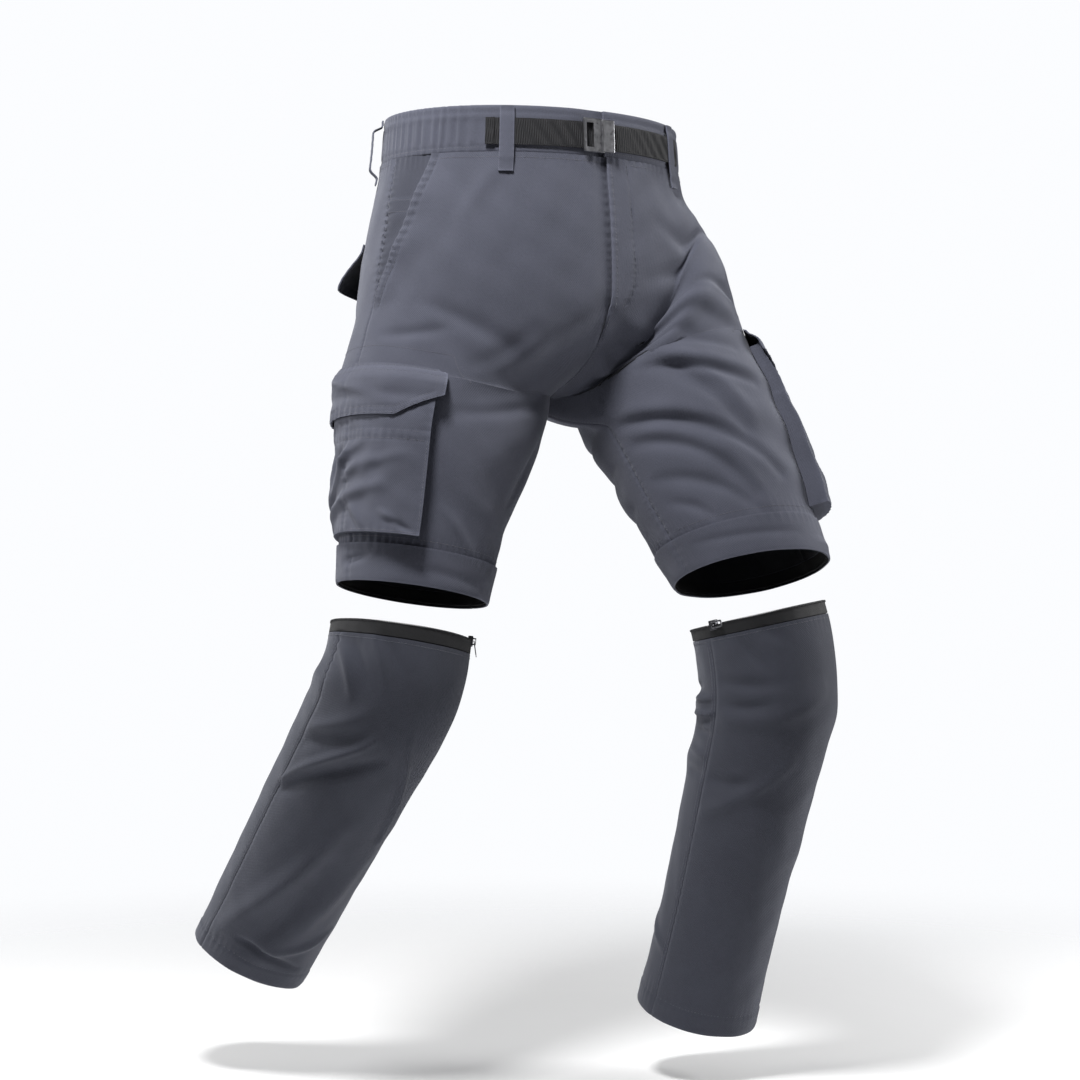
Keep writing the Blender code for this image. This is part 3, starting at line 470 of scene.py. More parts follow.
def along(rows, columns, name, at):
    """One column of a table at any height, as a smooth curve through its rows."""
    keys = np.array([row[0] for row in rows])
    values = np.array([row[columns.index(name)] for row in rows])
    slopes = np.gradient(values, keys)
    at = np.clip(at, keys[0], keys[-1])
    i = np.clip(np.searchsorted(keys, at) - 1, 0, len(keys) - 2)
    span = keys[i + 1] - keys[i]
    t = (at - keys[i]) / span
    rise = values[i + 1] - values[i]
    bend = slopes[i] * span - rise
    sag = slopes[i + 1] * span - rise
    return values[i] + t * rise + t * (1.0 - t) * ((1.0 - t) * bend - t * sag)


def unit(vectors):
    """The same directions, one metre long."""
    return vectors / np.maximum(np.linalg.norm(vectors, axis=-1, keepdims=True), 1e-12)


def leg_direction(forward, outward, side):
    tilt = np.array([side * math.tan(math.radians(outward)), -math.tan(math.radians(forward)), -1.0])
    return unit(tilt)


def turn_between(start, end):
    """Axis and angle of the smallest turn from one direction to another."""
    axis = np.cross(start, end)
    return unit(axis), math.atan2(np.linalg.norm(axis), float(start @ end))


def turned(points, axis, angle):
    """Points turned about an axis through the origin, each by its own angle."""
    angle = np.asarray(angle)[..., None]
    dot = (points @ axis)[..., None]
    swung = points * np.cos(angle) + np.cross(axis, points) * np.sin(angle)
    return swung + axis * dot * (1.0 - np.cos(angle))

# %% Sections round the body
def oval(t, half_width, front, back):
    """A section of four quarter ellipses, with t from the front round to the side."""
    depth = np.where(np.cos(t) > 0.0, front, back)
    return half_width * np.sin(t), -depth * np.cos(t)


def standing_shorts(side, a, v):
    hips = [along(PELVIS, PELVIS_COLUMNS, name, v) for name in PELVIS_COLUMNS[1:]]
    thigh = {name: along(THIGH[side], THIGH_COLUMNS, name, v) for name in THIGH_COLUMNS[1:]}
    hip_x, hip_y = oval(a * math.pi / 2, *hips)
    leg_x, leg_y = oval(a * math.pi - math.pi / 2, thigh["half_width"], thigh["front"], thigh["back"])
    tau = np.clip((v - BLEND_TOP) / (CROTCH - BLEND_TOP), 0.0, 1.0)
    leg = 1.0 - np.sqrt(1.0 - tau * tau)
    x = hip_x * (1.0 - leg) + (leg_x + thigh["out"]) * leg
    y = hip_y * (1.0 - leg) + (leg_y + thigh["behind"]) * leg
    skew, skew_at = POSE[side]["skew"]
    drop = (POSE[side]["longer"] + skew * np.cos(math.pi * (a - skew_at))) * smooth(CROTCH, HEM, v)
    rise = WAIST_RISE * (0.5 + 0.5 * np.cos(a * math.pi / 2)) * smooth(0.15, 0.0, v)
    return np.stack([side * x, y, -BAND_DROP - v - drop + rise], axis=-1)


def posed_shorts(side, a, v):
    """The hips and one thigh, with the thigh turned about its hip by degrees that fade out upwards."""
    a, v = np.broadcast_arrays(np.asarray(a, float), np.asarray(v, float))
    points = standing_shorts(side, a, v)
    pose = POSE[side]
    front = smooth(0.0, pose["front_reach"], np.abs(a))
    ease = np.where(a < 1.0, front, smooth(0.0, pose["back_reach"], np.abs(2.0 - a)))
    start = pose["turn_from"][0] + (pose["turn_from"][1] - pose["turn_from"][0]) * ease
    end = pose["turn_to"][0] + (pose["turn_to"][1] - pose["turn_to"][0]) * ease
    weight = smooth(start, end, v)
    hip = np.array(HIP) * (side, 1.0, 1.0)
    down = np.array([0.0, 0.0, -1.0])
    axis, angle = turn_between(down, leg_direction(*pose["thigh"], side))
    return hip + turned(points - hip, axis, weight * angle)


def lower_frames(side):
    """Centres and turning angles down a lower leg, from the direction at its top to its own."""
    pose = POSE[side]
    steps = np.linspace(0.0, LOWER_LENGTH, 221)
    start = leg_direction(*pose["knee"], side)
    axis, angle = turn_between(start, leg_direction(*pose["lower"], side))
    angles = smooth(0.0, pose["bend"], steps) * angle
    directions = turned(np.broadcast_to(start, (len(steps), 3)), axis, angles)
    middle = (directions[1:] + directions[:-1]) / 2.0
    gaps = np.diff(steps)[:, None]
    hip = np.array(HIP) * (side, 1.0, 1.0)
    thigh = leg_direction(*pose["thigh"], side) * (THIGH_LENGTH + pose["longer"])
    top = hip + thigh + np.array(pose["apart"])
    centres = top + np.vstack([np.zeros(3), np.cumsum(middle * gaps, axis=0)])
    return steps, centres, axis, angles


LOWER_FRAMES = {side: lower_frames(side) for side in (1, -1)}


def posed_lower(side, a, d):
    a, d = np.broadcast_arrays(np.asarray(a, float), np.asarray(d, float))
    steps, centres, axis, angles = LOWER_FRAMES[side]
    section = [along(LOWER[side], LOWER_COLUMNS, name, d) for name in LOWER_COLUMNS[1:]]
    x, y = oval(a * math.pi - math.pi / 2, *section)
    ring = np.stack([side * x, y, 0.0 * x], axis=-1)
    down = np.array([0.0, 0.0, -1.0])
    lean, lean_angle = turn_between(down, leg_direction(*POSE[side]["knee"], side))
    ring = turned(ring, lean, np.full(a.shape, lean_angle))
    ring = turned(ring, axis, np.interp(d, steps, angles))
    centre = np.stack([np.interp(d, steps, centres[:, k]) for k in range(3)], axis=-1)
    skew, skew_at = POSE[side]["lower_skew"]
    askew = skew * np.cos(math.pi * (a - skew_at)) * smooth(0.25, LOWER_LENGTH, d)
    beyond = np.maximum(d - LOWER_LENGTH, 0.0) + np.minimum(d, 0.0) + askew
    way = np.where(d[..., None] > 0.0, centres[-1] - centres[-2], centres[1] - centres[0])
    return centre + ring + unit(way) * beyond[..., None]

# %% Folds and fuller places
FOLD_EASE = 0.12


def outward(surface, side, a, v):
    """The direction square to a surface, away from the body."""
    step_a = 0.004
    step_v = 0.001
    across = surface(side, a + step_a, v) - surface(side, a - step_a, v)
    down = surface(side, a, v + step_v) - surface(side, a, v - step_v)
    return -side * unit(np.cross(across, down))


def raised(table, side, a, v, ease, power=1.0, depth=1.0, breadth=1.0):
    """The sum of every fold or crease in one side's table. `ease` is how far each one fades at its ends."""
    total = np.zeros(np.broadcast(a, v).shape)
    for row in table[side]:
        a0, v0, a1, v1, bow, width, height = np.array(row) * LINE_UNITS
        start = np.array([a0 * PANEL_WIDTH, v0])
        run = np.array([a1 * PANEL_WIDTH, v1]) - start
        length = math.hypot(*run)
        x, y = a * PANEL_WIDTH - start[0], v - start[1]
        t = (x * run[0] + y * run[1]) / length**2
        inside = np.clip(t, 0.0, 1.0)
        off = (y * run[0] - x * run[1]) / length - bow * 4.0 * inside * (1.0 - inside)
        apart = np.hypot(off, (t - inside) * length) / (breadth * width)
        profile = np.sin(math.pi * (ease + (1.0 - 2.0 * ease) * inside)) ** power
        total = total + depth * height * np.exp(-apart * apart) * profile
    return total


def from_inseam(a):
    """How far round a point is from the nearer inner edge, in units of `a`."""
    return np.minimum(np.abs(a), np.abs(2.0 - a))


def fold_height(folds, side, a, v, floor):
    """How far the folds lift the cloth. They fade out at the inner edges and at the top and bottom."""
    fade = smooth(0.0, 0.12, from_inseam(a)) * smooth(floor, floor - 0.03, v) * smooth(0.0, 0.03, v)
    return raised(folds, side, a, v, FOLD_EASE) * fade


def shorts(side, a, v):
    a, v = np.broadcast_arrays(np.asarray(a, float), np.asarray(v, float))
    lift = fold_height(FOLDS, side, a, v, PANEL_END - 0.02)
    for row in FILLS:
        fill = dict(zip(FILL_COLUMNS, row))
        if fill["side"] == side:
            apart = ((a - fill["a"]) / fill["span_a"]) ** 2 + ((v - fill["v"]) / fill["span_v"]) ** 2
            lift = lift + fill["height"] * np.exp(-apart) * smooth(0.0, 0.06, v) * smooth(0.0, 0.2, np.abs(a))
    return posed_shorts(side, a, v) + outward(posed_shorts, side, a, v) * lift[..., None]


def lower(side, a, d):
    a, d = np.broadcast_arrays(np.asarray(a, float), np.asarray(d, float))
    lift = fold_height(LOWER_FOLDS, side, a, d, LOWER_LENGTH - 0.005)
    return posed_lower(side, a, d) + outward(posed_lower, side, a, d) * lift[..., None]


def band(turn, v):
    """The hips by degrees from the middle of the front, so that one strip can go all round."""
    turn = (np.asarray(turn, float) + 180.0) % 360.0 - 180.0
    left = shorts(1, np.abs(turn) / 90.0, v)
    right = shorts(-1, np.abs(turn) / 90.0, v)
    return np.where((turn >= 0.0)[..., None], left, right)


def band_outward(turn, v):
    across = band(turn + 0.4, v) - band(turn - 0.4, v)
    down = band(turn, v + 0.001) - band(turn, v - 0.001)
    return -unit(np.cross(across, down))

# %% [markdown]
# ## Creases, gathers and puckers
# Cloth that is pulled creases along the pull, so the left thigh has long creases that fan out from the
# crotch, and the right one, which hangs back, has only a few. Each crease is a soft trough or ridge along
# a bowed line, with its own length, width and height. A row of stitches draws the cloth in: it leaves a
# fine groove with small uneven ripples across it.

# %% Creases as a table of bowed lines, in the columns and units of the folds
CREASES = {
    1: (
        (2, 162, 62, 232, 4, 10, -2), (2, 148, 56, 214, 3, 12, 1.6), (3, 184, 56, 252, 3, 6.5, -1.8),
        (3, 202, 58, 290, 6, 6.2, -3.6), (4, 193, 56, 278, 5, 8.5, 2.2),
        (10, 216, 46, 334, -16, 9.5, -3.4), (12, 206, 50, 322, -14, 10, 1.8),
        (5, 282, 54, 376, -12, 8, -3.8), (6, 270, 50, 362, -11, 10, 2), (7, 308, 40, 392, -14, 9.5, -3.6),
        (8, 297, 42, 381, -10, 9, 1.6), (8, 352, 40, 410, -8, 8.5, -2.4), (9, 380, 22, 407, -3, 7, -1.8),
        (39, 170, 68, 190, 2, 7, -2), (18, 116, 52, 102, -4, 11, -2.2), (24, 60, 60, 94, 5, 12, -2.2),
        (196, 216, 144, 266, 10, 9.5, -3), (195, 203, 150, 246, 8, 11, 2),
        (193, 262, 138, 318, 12, 10, -3), (190, 312, 142, 352, 8, 8.5, -2.2),
        (188, 362, 150, 392, 4, 8, -1.6), (120, 152, 152, 178, 5, 13, -1.4),
    ),
    -1: (
        (5, 172, 58, 248, 6, 17, -2.4), (8, 152, 60, 222, 5, 16, 1.4), (20, 222, 62, 270, 4, 9, -1.8),
        (30, 172, 56, 216, 3, 10, -1.6), (74, 150, 40, 186, 4, 11, -1.4), (70, 10, 52, 60, 4, 11, -1),
        (42, 8, 60, 70, -4, 12, 0.9), (24, 285, 28, 345, 3, 10, -1.8), (62, 176, 90, 192, 3, 8, -1.4),
        (62, 372, 44, 418, 2, 7, 1.2), (60, 340, 36, 372, -4, 12, 1), (36, 390, 22, 404, 2, 8, -1),
        (196, 208, 148, 246, 9, 10, -2.6), (192, 254, 140, 312, 12, 9.5, -3.2),
        (190, 240, 146, 296, 10, 11, 1.8), (188, 322, 152, 372, 6, 8.5, -2),
        (190, 385, 158, 402, 2, 7.5, -1.4), (122, 160, 156, 192, 6, 12, -1.4),
    ),
}
LOWER_CREASES = {
    1: (
        (14, 16, 28, 52, 2, 8, -1.8), (24, 8, 36, 26, 2, 7, -1.4), (6, 60, 34, 62, 2, 8, -2.4),
        (6, 98, 54, 70, 6, 10, 2), (6, 84, 28, 78, 3, 7, -1.8), (3, 166, 24, 158, 2, 9, -2.2),
        (3, 204, 42, 130, 3, 10, 2), (178, 110, 204, 94, 1, 4.5, 2.8), (180, 88, 199, 78, 1, 4.5, 1.8),
        (180, 126, 199, 122, 1, 5, -1.6), (182, 148, 199, 146, 1, 4.5, 1.4),
        (180, 168, 199, 164, 1, 6, -1.4), (174, 336, 199, 360, 2, 6, 1.4),
        (186, 70, 134, 92, -6, 8.5, -2.6), (170, 130, 130, 142, -4, 8.5, 2),
        (160, 260, 124, 340, 5, 15, 1.6),
    ),
    -1: (
        (97, 26, 84, 54, 4, 6.2, 3.2), (93, 18, 79, 44, 3, 7, -2.2), (82, 12, 70, 44, 2, 6, 2),
        (76, 14, 66, 36, 2, 7, -1.4), (97, 106, 74, 64, 2, 7, 2.2), (97, 128, 72, 78, 3, 9, -2.4),
        (99, 180, 66, 78, 4, 6.2, 3.8), (98, 192, 60, 94, 4, 10, -3.4), (51, 74, 36, 202, 8, 6.2, 2.8),
        (60, 190, 94, 394, 6, 17, 4), (56, 240, 74, 392, 6, 18, -2.6), (60, 382, 30, 340, -3, 7, 2),
        (80, 386, 42, 400, 2, 5, -2.6), (190, 80, 130, 104, -8, 9, 3), (188, 100, 136, 126, -8, 9, -3),
        (180, 150, 134, 168, -6, 8.5, 2.2), (170, 240, 130, 330, 6, 14, 1.8),
    ),
}
CREASE_DEPTH = 1.7
CREASE_WIDTH = 0.85
CREASE_EASE = 0.10


def creased(table, side, a, v):
    return raised(table, side, a, v, CREASE_EASE, 0.8, CREASE_DEPTH, CREASE_WIDTH)


def ripples(s, pitch, seed):
    """Uneven waves along a line, as gathered cloth has."""
    drift = 0.35 * np.sin(s / 0.031 + seed) + 0.22 * np.sin(s / 0.0131 + 2.1 * seed)
    return np.sin(2.0 * math.pi * (s / pitch + drift)) * (0.62 + 0.38 * np.sin(s / 0.047 + 3.3 * seed))


def near(distance, reach):
    """1 at no distance, fading to nothing beyond the reach."""
    return np.exp(-((distance / reach) ** 2))


def wander(x, y):
    """A slow unevenness that no pressed cloth is free of."""
    return (np.sin(x * 61.0 + 1.3 * np.sin(y * 37.0)) * np.sin(y * 49.0 + 1.1 * np.sin(x * 43.0)) +
            0.5 * np.sin(x * 131.0 + y * 57.0 + 0.7) * np.sin(y * 117.0 - x * 29.0))

# %% [markdown]
# ## Relief of each surface
# The relief is how far the cloth stands off the smooth surface. It is worked out from `a` and `v`
# alone, so a pocket or a stitch that lies on a panel follows the same creases.

# %% Relief
SEAM_DIP = 0.0009
SEAM_DIP_REACH = 0.0017
SIDE_PUCKER = {"pitch": 0.0075, "reach": 0.0085, "low": 0.00045, "high": 0.00125}
INSEAM_PUCKER = {"pitch": 0.0085, "reach": 0.0070, "height": 0.00045}
WAIST_PUCKER = {"pitch": 0.0095, "reach": 0.0120, "height": 0.00055}
HEM_PUCKER = {"pitch": 0.0090, "reach": 0.0110, "height": 0.00075}
GROIN = {"v": 0.235, "reach": 0.018, "a": (0.36, 0.24)}


def puckers(row, x, seed, off):
    """Ripples beside a row of stitches, at a distance off it."""
    return row["height"] * ripples(x, row["pitch"], seed) * near(off, row["reach"])


def seam_relief(side, a, v):
    side_far = np.abs(a - 1.0) * PANEL_WIDTH
    inner_far = from_inseam(a) * PANEL_WIDTH
    tall = SIDE_PUCKER["low"] + (SIDE_PUCKER["high"] - SIDE_PUCKER["low"]) * smooth(0.21, 0.10, v)
    lift = tall * ripples(v, SIDE_PUCKER["pitch"], 1.0 + side) * near(side_far, SIDE_PUCKER["reach"])
    lift = lift + puckers(INSEAM_PUCKER, v, 2.0, inner_far)
    return lift - SEAM_DIP * (near(side_far, SEAM_DIP_REACH) + near(inner_far, SEAM_DIP_REACH))


def shorts_relief(side, a, v):
    inner = from_inseam(a)
    x = a * PANEL_WIDTH
    fade = smooth(0.0, 0.05, inner) * smooth(0.424, 0.404, v) * smooth(0.0, 0.02, v)
    lift = creased(CREASES, side, a, v) * fade + seam_relief(side, a, v)
    lift = lift + puckers(WAIST_PUCKER, x, 0.4, v)
    lift = lift + puckers(HEM_PUCKER, x, 0.9, v - 0.410) * smooth(0.03, 0.08, inner)
    lift = lift + 0.00065 * wander(x + side, v) * smooth(0.0, 0.1, inner)
    return lift * (1.0 - near(v - GROIN["v"], GROIN["reach"]) * smooth(*GROIN["a"], np.abs(a)))


def lower_relief(side, a, d):
    inner = from_inseam(a)
    x = a * PANEL_WIDTH
    hem = near(d - (LOWER_LENGTH - 0.022), 0.012)
    lift = creased(LOWER_CREASES, side, a, d) * smooth(0.0, 0.03, inner) * smooth(0.425, 0.402, d)
    lift = lift + seam_relief(side, a, d + 0.09) * smooth(0.0, 0.02, d)
    lift = lift + 0.0005 * ripples(x, 0.010, 1.7 + side) * hem
    lift = lift + 0.00035 * ripples(x, 0.011, 0.2 + side) * near(d - LEG_TAPE, 0.012)
    return lift + 0.00045 * wander(x + side, d) * smooth(0.0, 0.1, inner)


SHORTS = (shorts, shorts_relief)
LOWER_LEG = (lower, lower_relief)

# %% [markdown]
# ## Shells
# A shell is two grids of points, the outer face and the inner one, closed round the rim. The inner face
# takes its own darker finish, painted shade, because hardly any light gets inside a trouser leg. The UV map
# is the
# cloth laid flat: the distances along the rows and down the columns, in metres.

# %% Flat size and UV map
COUNT = {"triangles": 0, "pieces": 0}
SHARP = math.radians(55.0)


def flat_size(grid):
    """Width, length and area of the cut that a smooth grid of points stands for, in metres."""
    across = np.linalg.norm(np.diff(grid, axis=1), axis=2).sum(axis=1)
    down = np.linalg.norm(np.diff(grid, axis=0), axis=2).sum(axis=0)
    one = np.cross(grid[1:, :-1] - grid[:-1, :-1], grid[:-1, 1:] - grid[:-1, :-1])
    two = np.cross(grid[1:, :-1] - grid[1:, 1:], grid[:-1, 1:] - grid[1:, 1:])
    area = (np.linalg.norm(one, axis=2).sum() + np.linalg.norm(two, axis=2).sum()) / 2.0
    return round(float(across.max()), 3), round(float(down.max()), 3), round(float(area), 5)


def laid_flat(grid, wrap):
    """UV of each grid point in metres. A tube gets one more column, so that its map closes."""
    if wrap:
        grid = np.concatenate([grid, grid[:, :1]], axis=1)
    across = np.linalg.norm(np.diff(grid, axis=1), axis=2)
    u = np.concatenate([np.zeros((len(grid), 1)), np.cumsum(across, axis=1)], axis=1)
    u = u - u[:, u.shape[1] // 2][:, None]
    down = np.linalg.norm(np.diff(grid, axis=0), axis=2).mean(axis=1)
    v = np.concatenate([[0.0], np.cumsum(down)])[:, None] + 0.0 * u
    return np.stack([u, v], axis=-1)

# %% [markdown]
# ### One closed shell
# A Solidify modifier could thicken a sheet. Here both faces and the rim are written out instead, so that
# the inside has its own dark finish of painted shade, the rim stays closed and the UV map stays true to the
# cut.

# %% Two grids joined in one closed shell
def shell(name, outer, inner, finishes, wrap=False, wear=None, body=SHORTS_BODY):
    """A closed shell between two grids, with the UV map, the wear and the inside's own finish."""
    rows, columns = outer.shape[:2]
    ends = columns if wrap else columns - 1
    other = rows * columns
    i, j = (part.ravel() for part in np.meshgrid(np.arange(rows - 1), np.arange(ends), indexing="ij"))
    k = (j + 1) % columns
    face = np.stack([i * columns + j, i * columns + k, (i + 1) * columns + k, (i + 1) * columns + j], axis=1)
    spot = np.stack([[i, j], [i, j + 1], [i + 1, j + 1], [i + 1, j]]).transpose(2, 0, 1)
    faces, spots = [face, other + face[:, ::-1]], [spot, spot[:, ::-1]]
    i, j = np.arange(rows - 1), np.arange(ends)
    borders = [(0 * j, j, 0, 1, True), (0 * j + rows - 1, j, 0, 1, False)]
    if not wrap:
        borders += [(i, 0 * i, 1, 0, False), (i, 0 * i + columns - 1, 1, 0, True)]
    for row, column, down, over, flip in borders:
        here, there = row * columns + column, (row + down) * columns + (column + over) % columns
        rim = np.stack([here, there, other + there, other + here], axis=1)
        near_spot, far_spot = np.stack([row, column], axis=1), np.stack([row + down, column + over], axis=1)
        rim_spot = np.stack([near_spot, far_spot, far_spot, near_spot], axis=1)
        faces.append(rim[:, ::-1] if flip else rim)
        spots.append(rim_spot[:, ::-1] if flip else rim_spot)
    inside = np.repeat([0, 1, 0], [len(face), len(face), sum(len(part) for part in faces[2:])])
    faces = np.concatenate(faces)
    spots = np.concatenate(spots)
    points = np.concatenate([outer.reshape(-1, 3), inner.reshape(-1, 3)])
    corners = points[faces]
    volume = np.einsum("ij,ij->i", corners[:, 0], np.cross(corners[:, 1], corners[:, 2])).sum()
    volume += np.einsum("ij,ij->i", corners[:, 0], np.cross(corners[:, 2], corners[:, 3])).sum()
    if volume < 0.0:
        faces = faces[:, ::-1]
        spots = spots[:, ::-1]
    uv = laid_flat(outer, wrap)[spots[..., 0], spots[..., 1]].reshape(-1, 2)
    mesh = bpy.data.meshes.new(name)
    mesh.from_pydata(points.tolist(), [], faces.tolist())
    layer = mesh.uv_layers.new(name="cloth")
    layer.data.foreach_set("uv", uv.ravel().astype(np.float32))
    mark = mesh.attributes.new("wear", "FLOAT", "POINT")
    worn = np.zeros(outer.shape[:2]) if wear is None else np.clip(wear, 0.0, 1.0) + 0.0 * outer[..., 0]
    mark.data.foreach_set("value", np.concatenate([worn.ravel(), 0.0 * worn.ravel()]).astype(np.float32))
    for finish in finishes:
        mesh.materials.append(finish)
    if len(finishes) > 1:
        mesh.polygons.foreach_set("material_index", inside.astype(np.int32))
    mesh.shade_smooth()
    mesh.set_sharp_from_angle(angle=SHARP)
    return add_piece(name, mesh, body)


def add_piece(name, mesh, body=SHORTS_BODY):
    """An object that rides on a body of the model."""
    piece = bpy.data.objects.new(name, mesh)
    bpy.context.scene.collection.objects.link(piece)
    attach(piece, body)
    COUNT["pieces"] += 1
    COUNT["triangles"] += sum(len(face.vertices) - 2 for face in mesh.polygons)
    return piece

# %% [markdown]
# ### A piece on the surface
# Each piece stands at its own height off the creased cloth, and the solid it replaces is hidden. How
# large its cloth was before it was sewn is worked out on the smooth surface without its creases, but not
# kept.

# %% Pieces on a surface, and the solid each one hides
def stands(cloth, side, a, v, lift):
    """Points that stand `lift` off the creased cloth, and the way out of the cloth there."""
    surface, relief = cloth
    a, v, lift = np.broadcast_arrays(np.asarray(a, float), np.asarray(v, float), np.asarray(lift, float))
    away = outward(surface, side, a, v)
    return surface(side, a, v) + away * (lift + relief(side, a, v))[..., None], away


def sided(name, side):
    """The name of a piece on one side. The waistband is shared by both."""
    return name if name == "waistband" else f"{name}_{SIDE_NAME[side]}"


def declare(piece, smooth_grid):
    width, length, area = flat_size(smooth_grid)
    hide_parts(piece.name.replace("_cloth", ""))
    return piece


def cloth_piece(name, cloth, side, a, v, lift, thick, finishes,
                wrap=False, wear=None):
    """One cut piece: its shell, and the solid it replaces, which is hidden."""
    a, v, lift = np.broadcast_arrays(np.asarray(a, float), np.asarray(v, float), np.asarray(lift, float))
    outer, away = stands(cloth, side, a, v, lift)
    piece = shell(f"{sided(name, side)}_cloth", outer, outer - away * thick, finishes, wrap, wear)
    smooth_grid = cloth[0](side, a, v)
    if wrap:
        smooth_grid = np.concatenate([smooth_grid, smooth_grid[:, :1]], axis=1)
    return declare(piece, smooth_grid)


def rows_between(low, high, step):
    return np.linspace(low, high, max(2, int(round((high - low) / step)) + 1))

# %% [markdown]
# ## Front and back panels
# Each front is cut away along the slanted pocket, and its edge there is folded under and stitched down
# twice. The left front laps over the right one at the fly. The rows crowd together above the crotch,
# where the cloth turns under fast.

# %% Panel grids
FINE = 0.0026
PANEL_COLUMNS = 108
BLEND_LINES = 58
SEAM_GAP = 0.0002
TURN = np.sin(math.pi / 2 * np.arange(1, BLEND_LINES + 1) / BLEND_LINES)
FINE_ROWS = np.concatenate([
    rows_between(0.0002, BLEND_TOP, FINE),
    BLEND_TOP + (CROTCH - BLEND_TOP) * TURN,
    rows_between(CROTCH, PANEL_END, FINE)[1:],
])
# The inner face of every shell takes the nearly black painted-shade finish.
TWO_FACED = [CLOTH_FINISH, INSIDE_PAINTED_SHADE]
FLY_STITCH = {"wide": 0.028, "round_from": 0.112, "end": 0.150}
MOUTH_HEM = 0.0100
# Mouth of the slanted hand pocket: where it starts at the top, its depth, and how far it gapes
MOUTH_TOP = 0.755
MOUTH_DEPTH = 0.165
MOUTH_GAPE = ((0.045, 0.0045), (0.092, 0.0055), (0.135, 0.0040))
# Fly: the right front runs on under the left one.
FLY_LAP = 0.045
FLY_DEPTH = 0.140
FLY_BEHIND = 0.0022


def seam_wear(side, a, v):
    """High on the puckers beside a seam, where washing rubs the dye off first."""
    side_far = np.abs(np.abs(a - 1.0) * PANEL_WIDTH - 0.0035)
    inner_far = np.abs(from_inseam(a) * PANEL_WIDTH - 0.0030)
    tops = np.clip(ripples(v, SIDE_PUCKER["pitch"], 1.0 + side), 0.0, 1.0)
    return 0.55 * tops * near(side_far, 0.0025) + 0.30 * near(inner_far, 0.0015)


def fine_mouth_edge(v):
    return MOUTH_TOP + (1.0 - SEAM_GAP - MOUTH_TOP) * np.clip(v / MOUTH_DEPTH, 0.0, 1.0)


def fly_width(v):
    """How far the fly's curved row of stitches is from the middle, at each height."""
    down = np.clip((v - FLY_STITCH["round_from"]) / (FLY_STITCH["end"] - FLY_STITCH["round_from"]), 0.0, 1.0)
    return FLY_STITCH["wide"] * np.sqrt(1.0 - down * down)

# %% [markdown]
# ### The panels
# A front has the most to show: the fly's doubled cloth, the pocket's gaping mouth and its puckered hem.
# Each is a height added in its own place, so that one grid of points carries them all without a join.

# %% Front and back panels
def front_lift(side, a, v):
    """The pocket's gape, the under lap of the fly, and the doubled cloth along both edges."""
    edge = fine_mouth_edge(v)
    lift = 0.0 * a * v
    if side < 0:
        under = smooth(0.085, 0.012, a) * smooth(FLY_DEPTH + 0.045, FLY_DEPTH + 0.022, v)
        lift = lift - FLY_BEHIND * under
    else:
        inside = smooth(fly_width(v) + 0.0006, fly_width(v) - 0.0006, a * PANEL_WIDTH)
        inside = inside * smooth(FLY_STITCH["end"], FLY_STITCH["end"] - 0.004, v)
        rim = near(a * PANEL_WIDTH - fly_width(v), 0.0050) * smooth(0.155, 0.140, v)
        lift = lift + 0.0008 * inside + 0.0010 * rim * ripples(v, 0.0068, 5.0)
        lift = lift - 0.0011 * near(a * PANEL_WIDTH - fly_width(v), 0.0012) * smooth(0.152, 0.145, v)
        lift = lift + 0.0012 * near(a * PANEL_WIDTH, 0.0050) * smooth(0.150, 0.140, v) * smooth(0.0, 0.01, v)
    shown = smooth(MOUTH_DEPTH, MOUTH_DEPTH - 0.02, v)
    close = smooth(0.16, 0.0, edge - a) * shown * smooth(0.0, 0.02, v)
    for middle, rise in MOUTH_GAPE:
        lift = lift + rise * close * near(v - middle, 0.022)
    in_from_edge = (edge - a) * PANEL_WIDTH
    doubled = smooth(MOUTH_HEM + 0.0012, MOUTH_HEM - 0.0004, in_from_edge) * shown
    lift = lift + 0.0009 * doubled - 0.0009 * near(in_from_edge - MOUTH_HEM, 0.0013) * shown
    return lift + 0.00110 * ripples(v, 0.0078, 3.0 + side) * near(in_from_edge - 0.005, 0.0065) * shown


def front_panel(side):
    v = FINE_ROWS[:, None]
    lap = smooth(FLY_DEPTH + 0.02, FLY_DEPTH, v) if side < 0 else 0.0 * v
    start = SEAM_GAP - (FLY_LAP + SEAM_GAP) * lap
    a = start + (fine_mouth_edge(v) - start) * np.linspace(0.0, 1.0, PANEL_COLUMNS)[None, :]
    lift = front_lift(side, a, v)
    in_from_edge = (fine_mouth_edge(v) - a) * PANEL_WIDTH
    shown = smooth(MOUTH_DEPTH + 0.01, MOUTH_DEPTH - 0.01, v)
    mouth_wear = 0.75 * near(in_from_edge, 0.0012) + 0.25 * near(in_from_edge - 0.012, 0.003)
    wear = seam_wear(side, a, v) + mouth_wear * shown
    if side > 0:
        wear = wear + 0.9 * near(a * PANEL_WIDTH, 0.0012) * smooth(0.160, 0.150, v)
    cloth_piece("front", SHORTS, side, a, v, lift, CLOTH, TWO_FACED, wear=wear)


def back_panel(side):
    a = np.linspace(1.0 + SEAM_GAP, 2.0 - SEAM_GAP, PANEL_COLUMNS)[None, :]
    v = FINE_ROWS[:, None]
    cloth_piece("back", SHORTS, side, a, v, 0.0, CLOTH, TWO_FACED, wear=seam_wear(side, a, v))


for side in (1, -1):
    front_panel(side)
    back_panel(side)
print("panels:", COUNT)

# %% [markdown]
# ## Hand pocket facings and back pocket flaps
# The facing is the cloth that shows inside the slanted pocket, darker than the panels: painted shade for the
# pocket's hollow. A band is stitched across it, and below that the side seam has drawn it into deep gathers.
# The back flaps hang from one seam, and their outer lower corners curl away from the seat, which shows as a
# dark tab at the back edge.

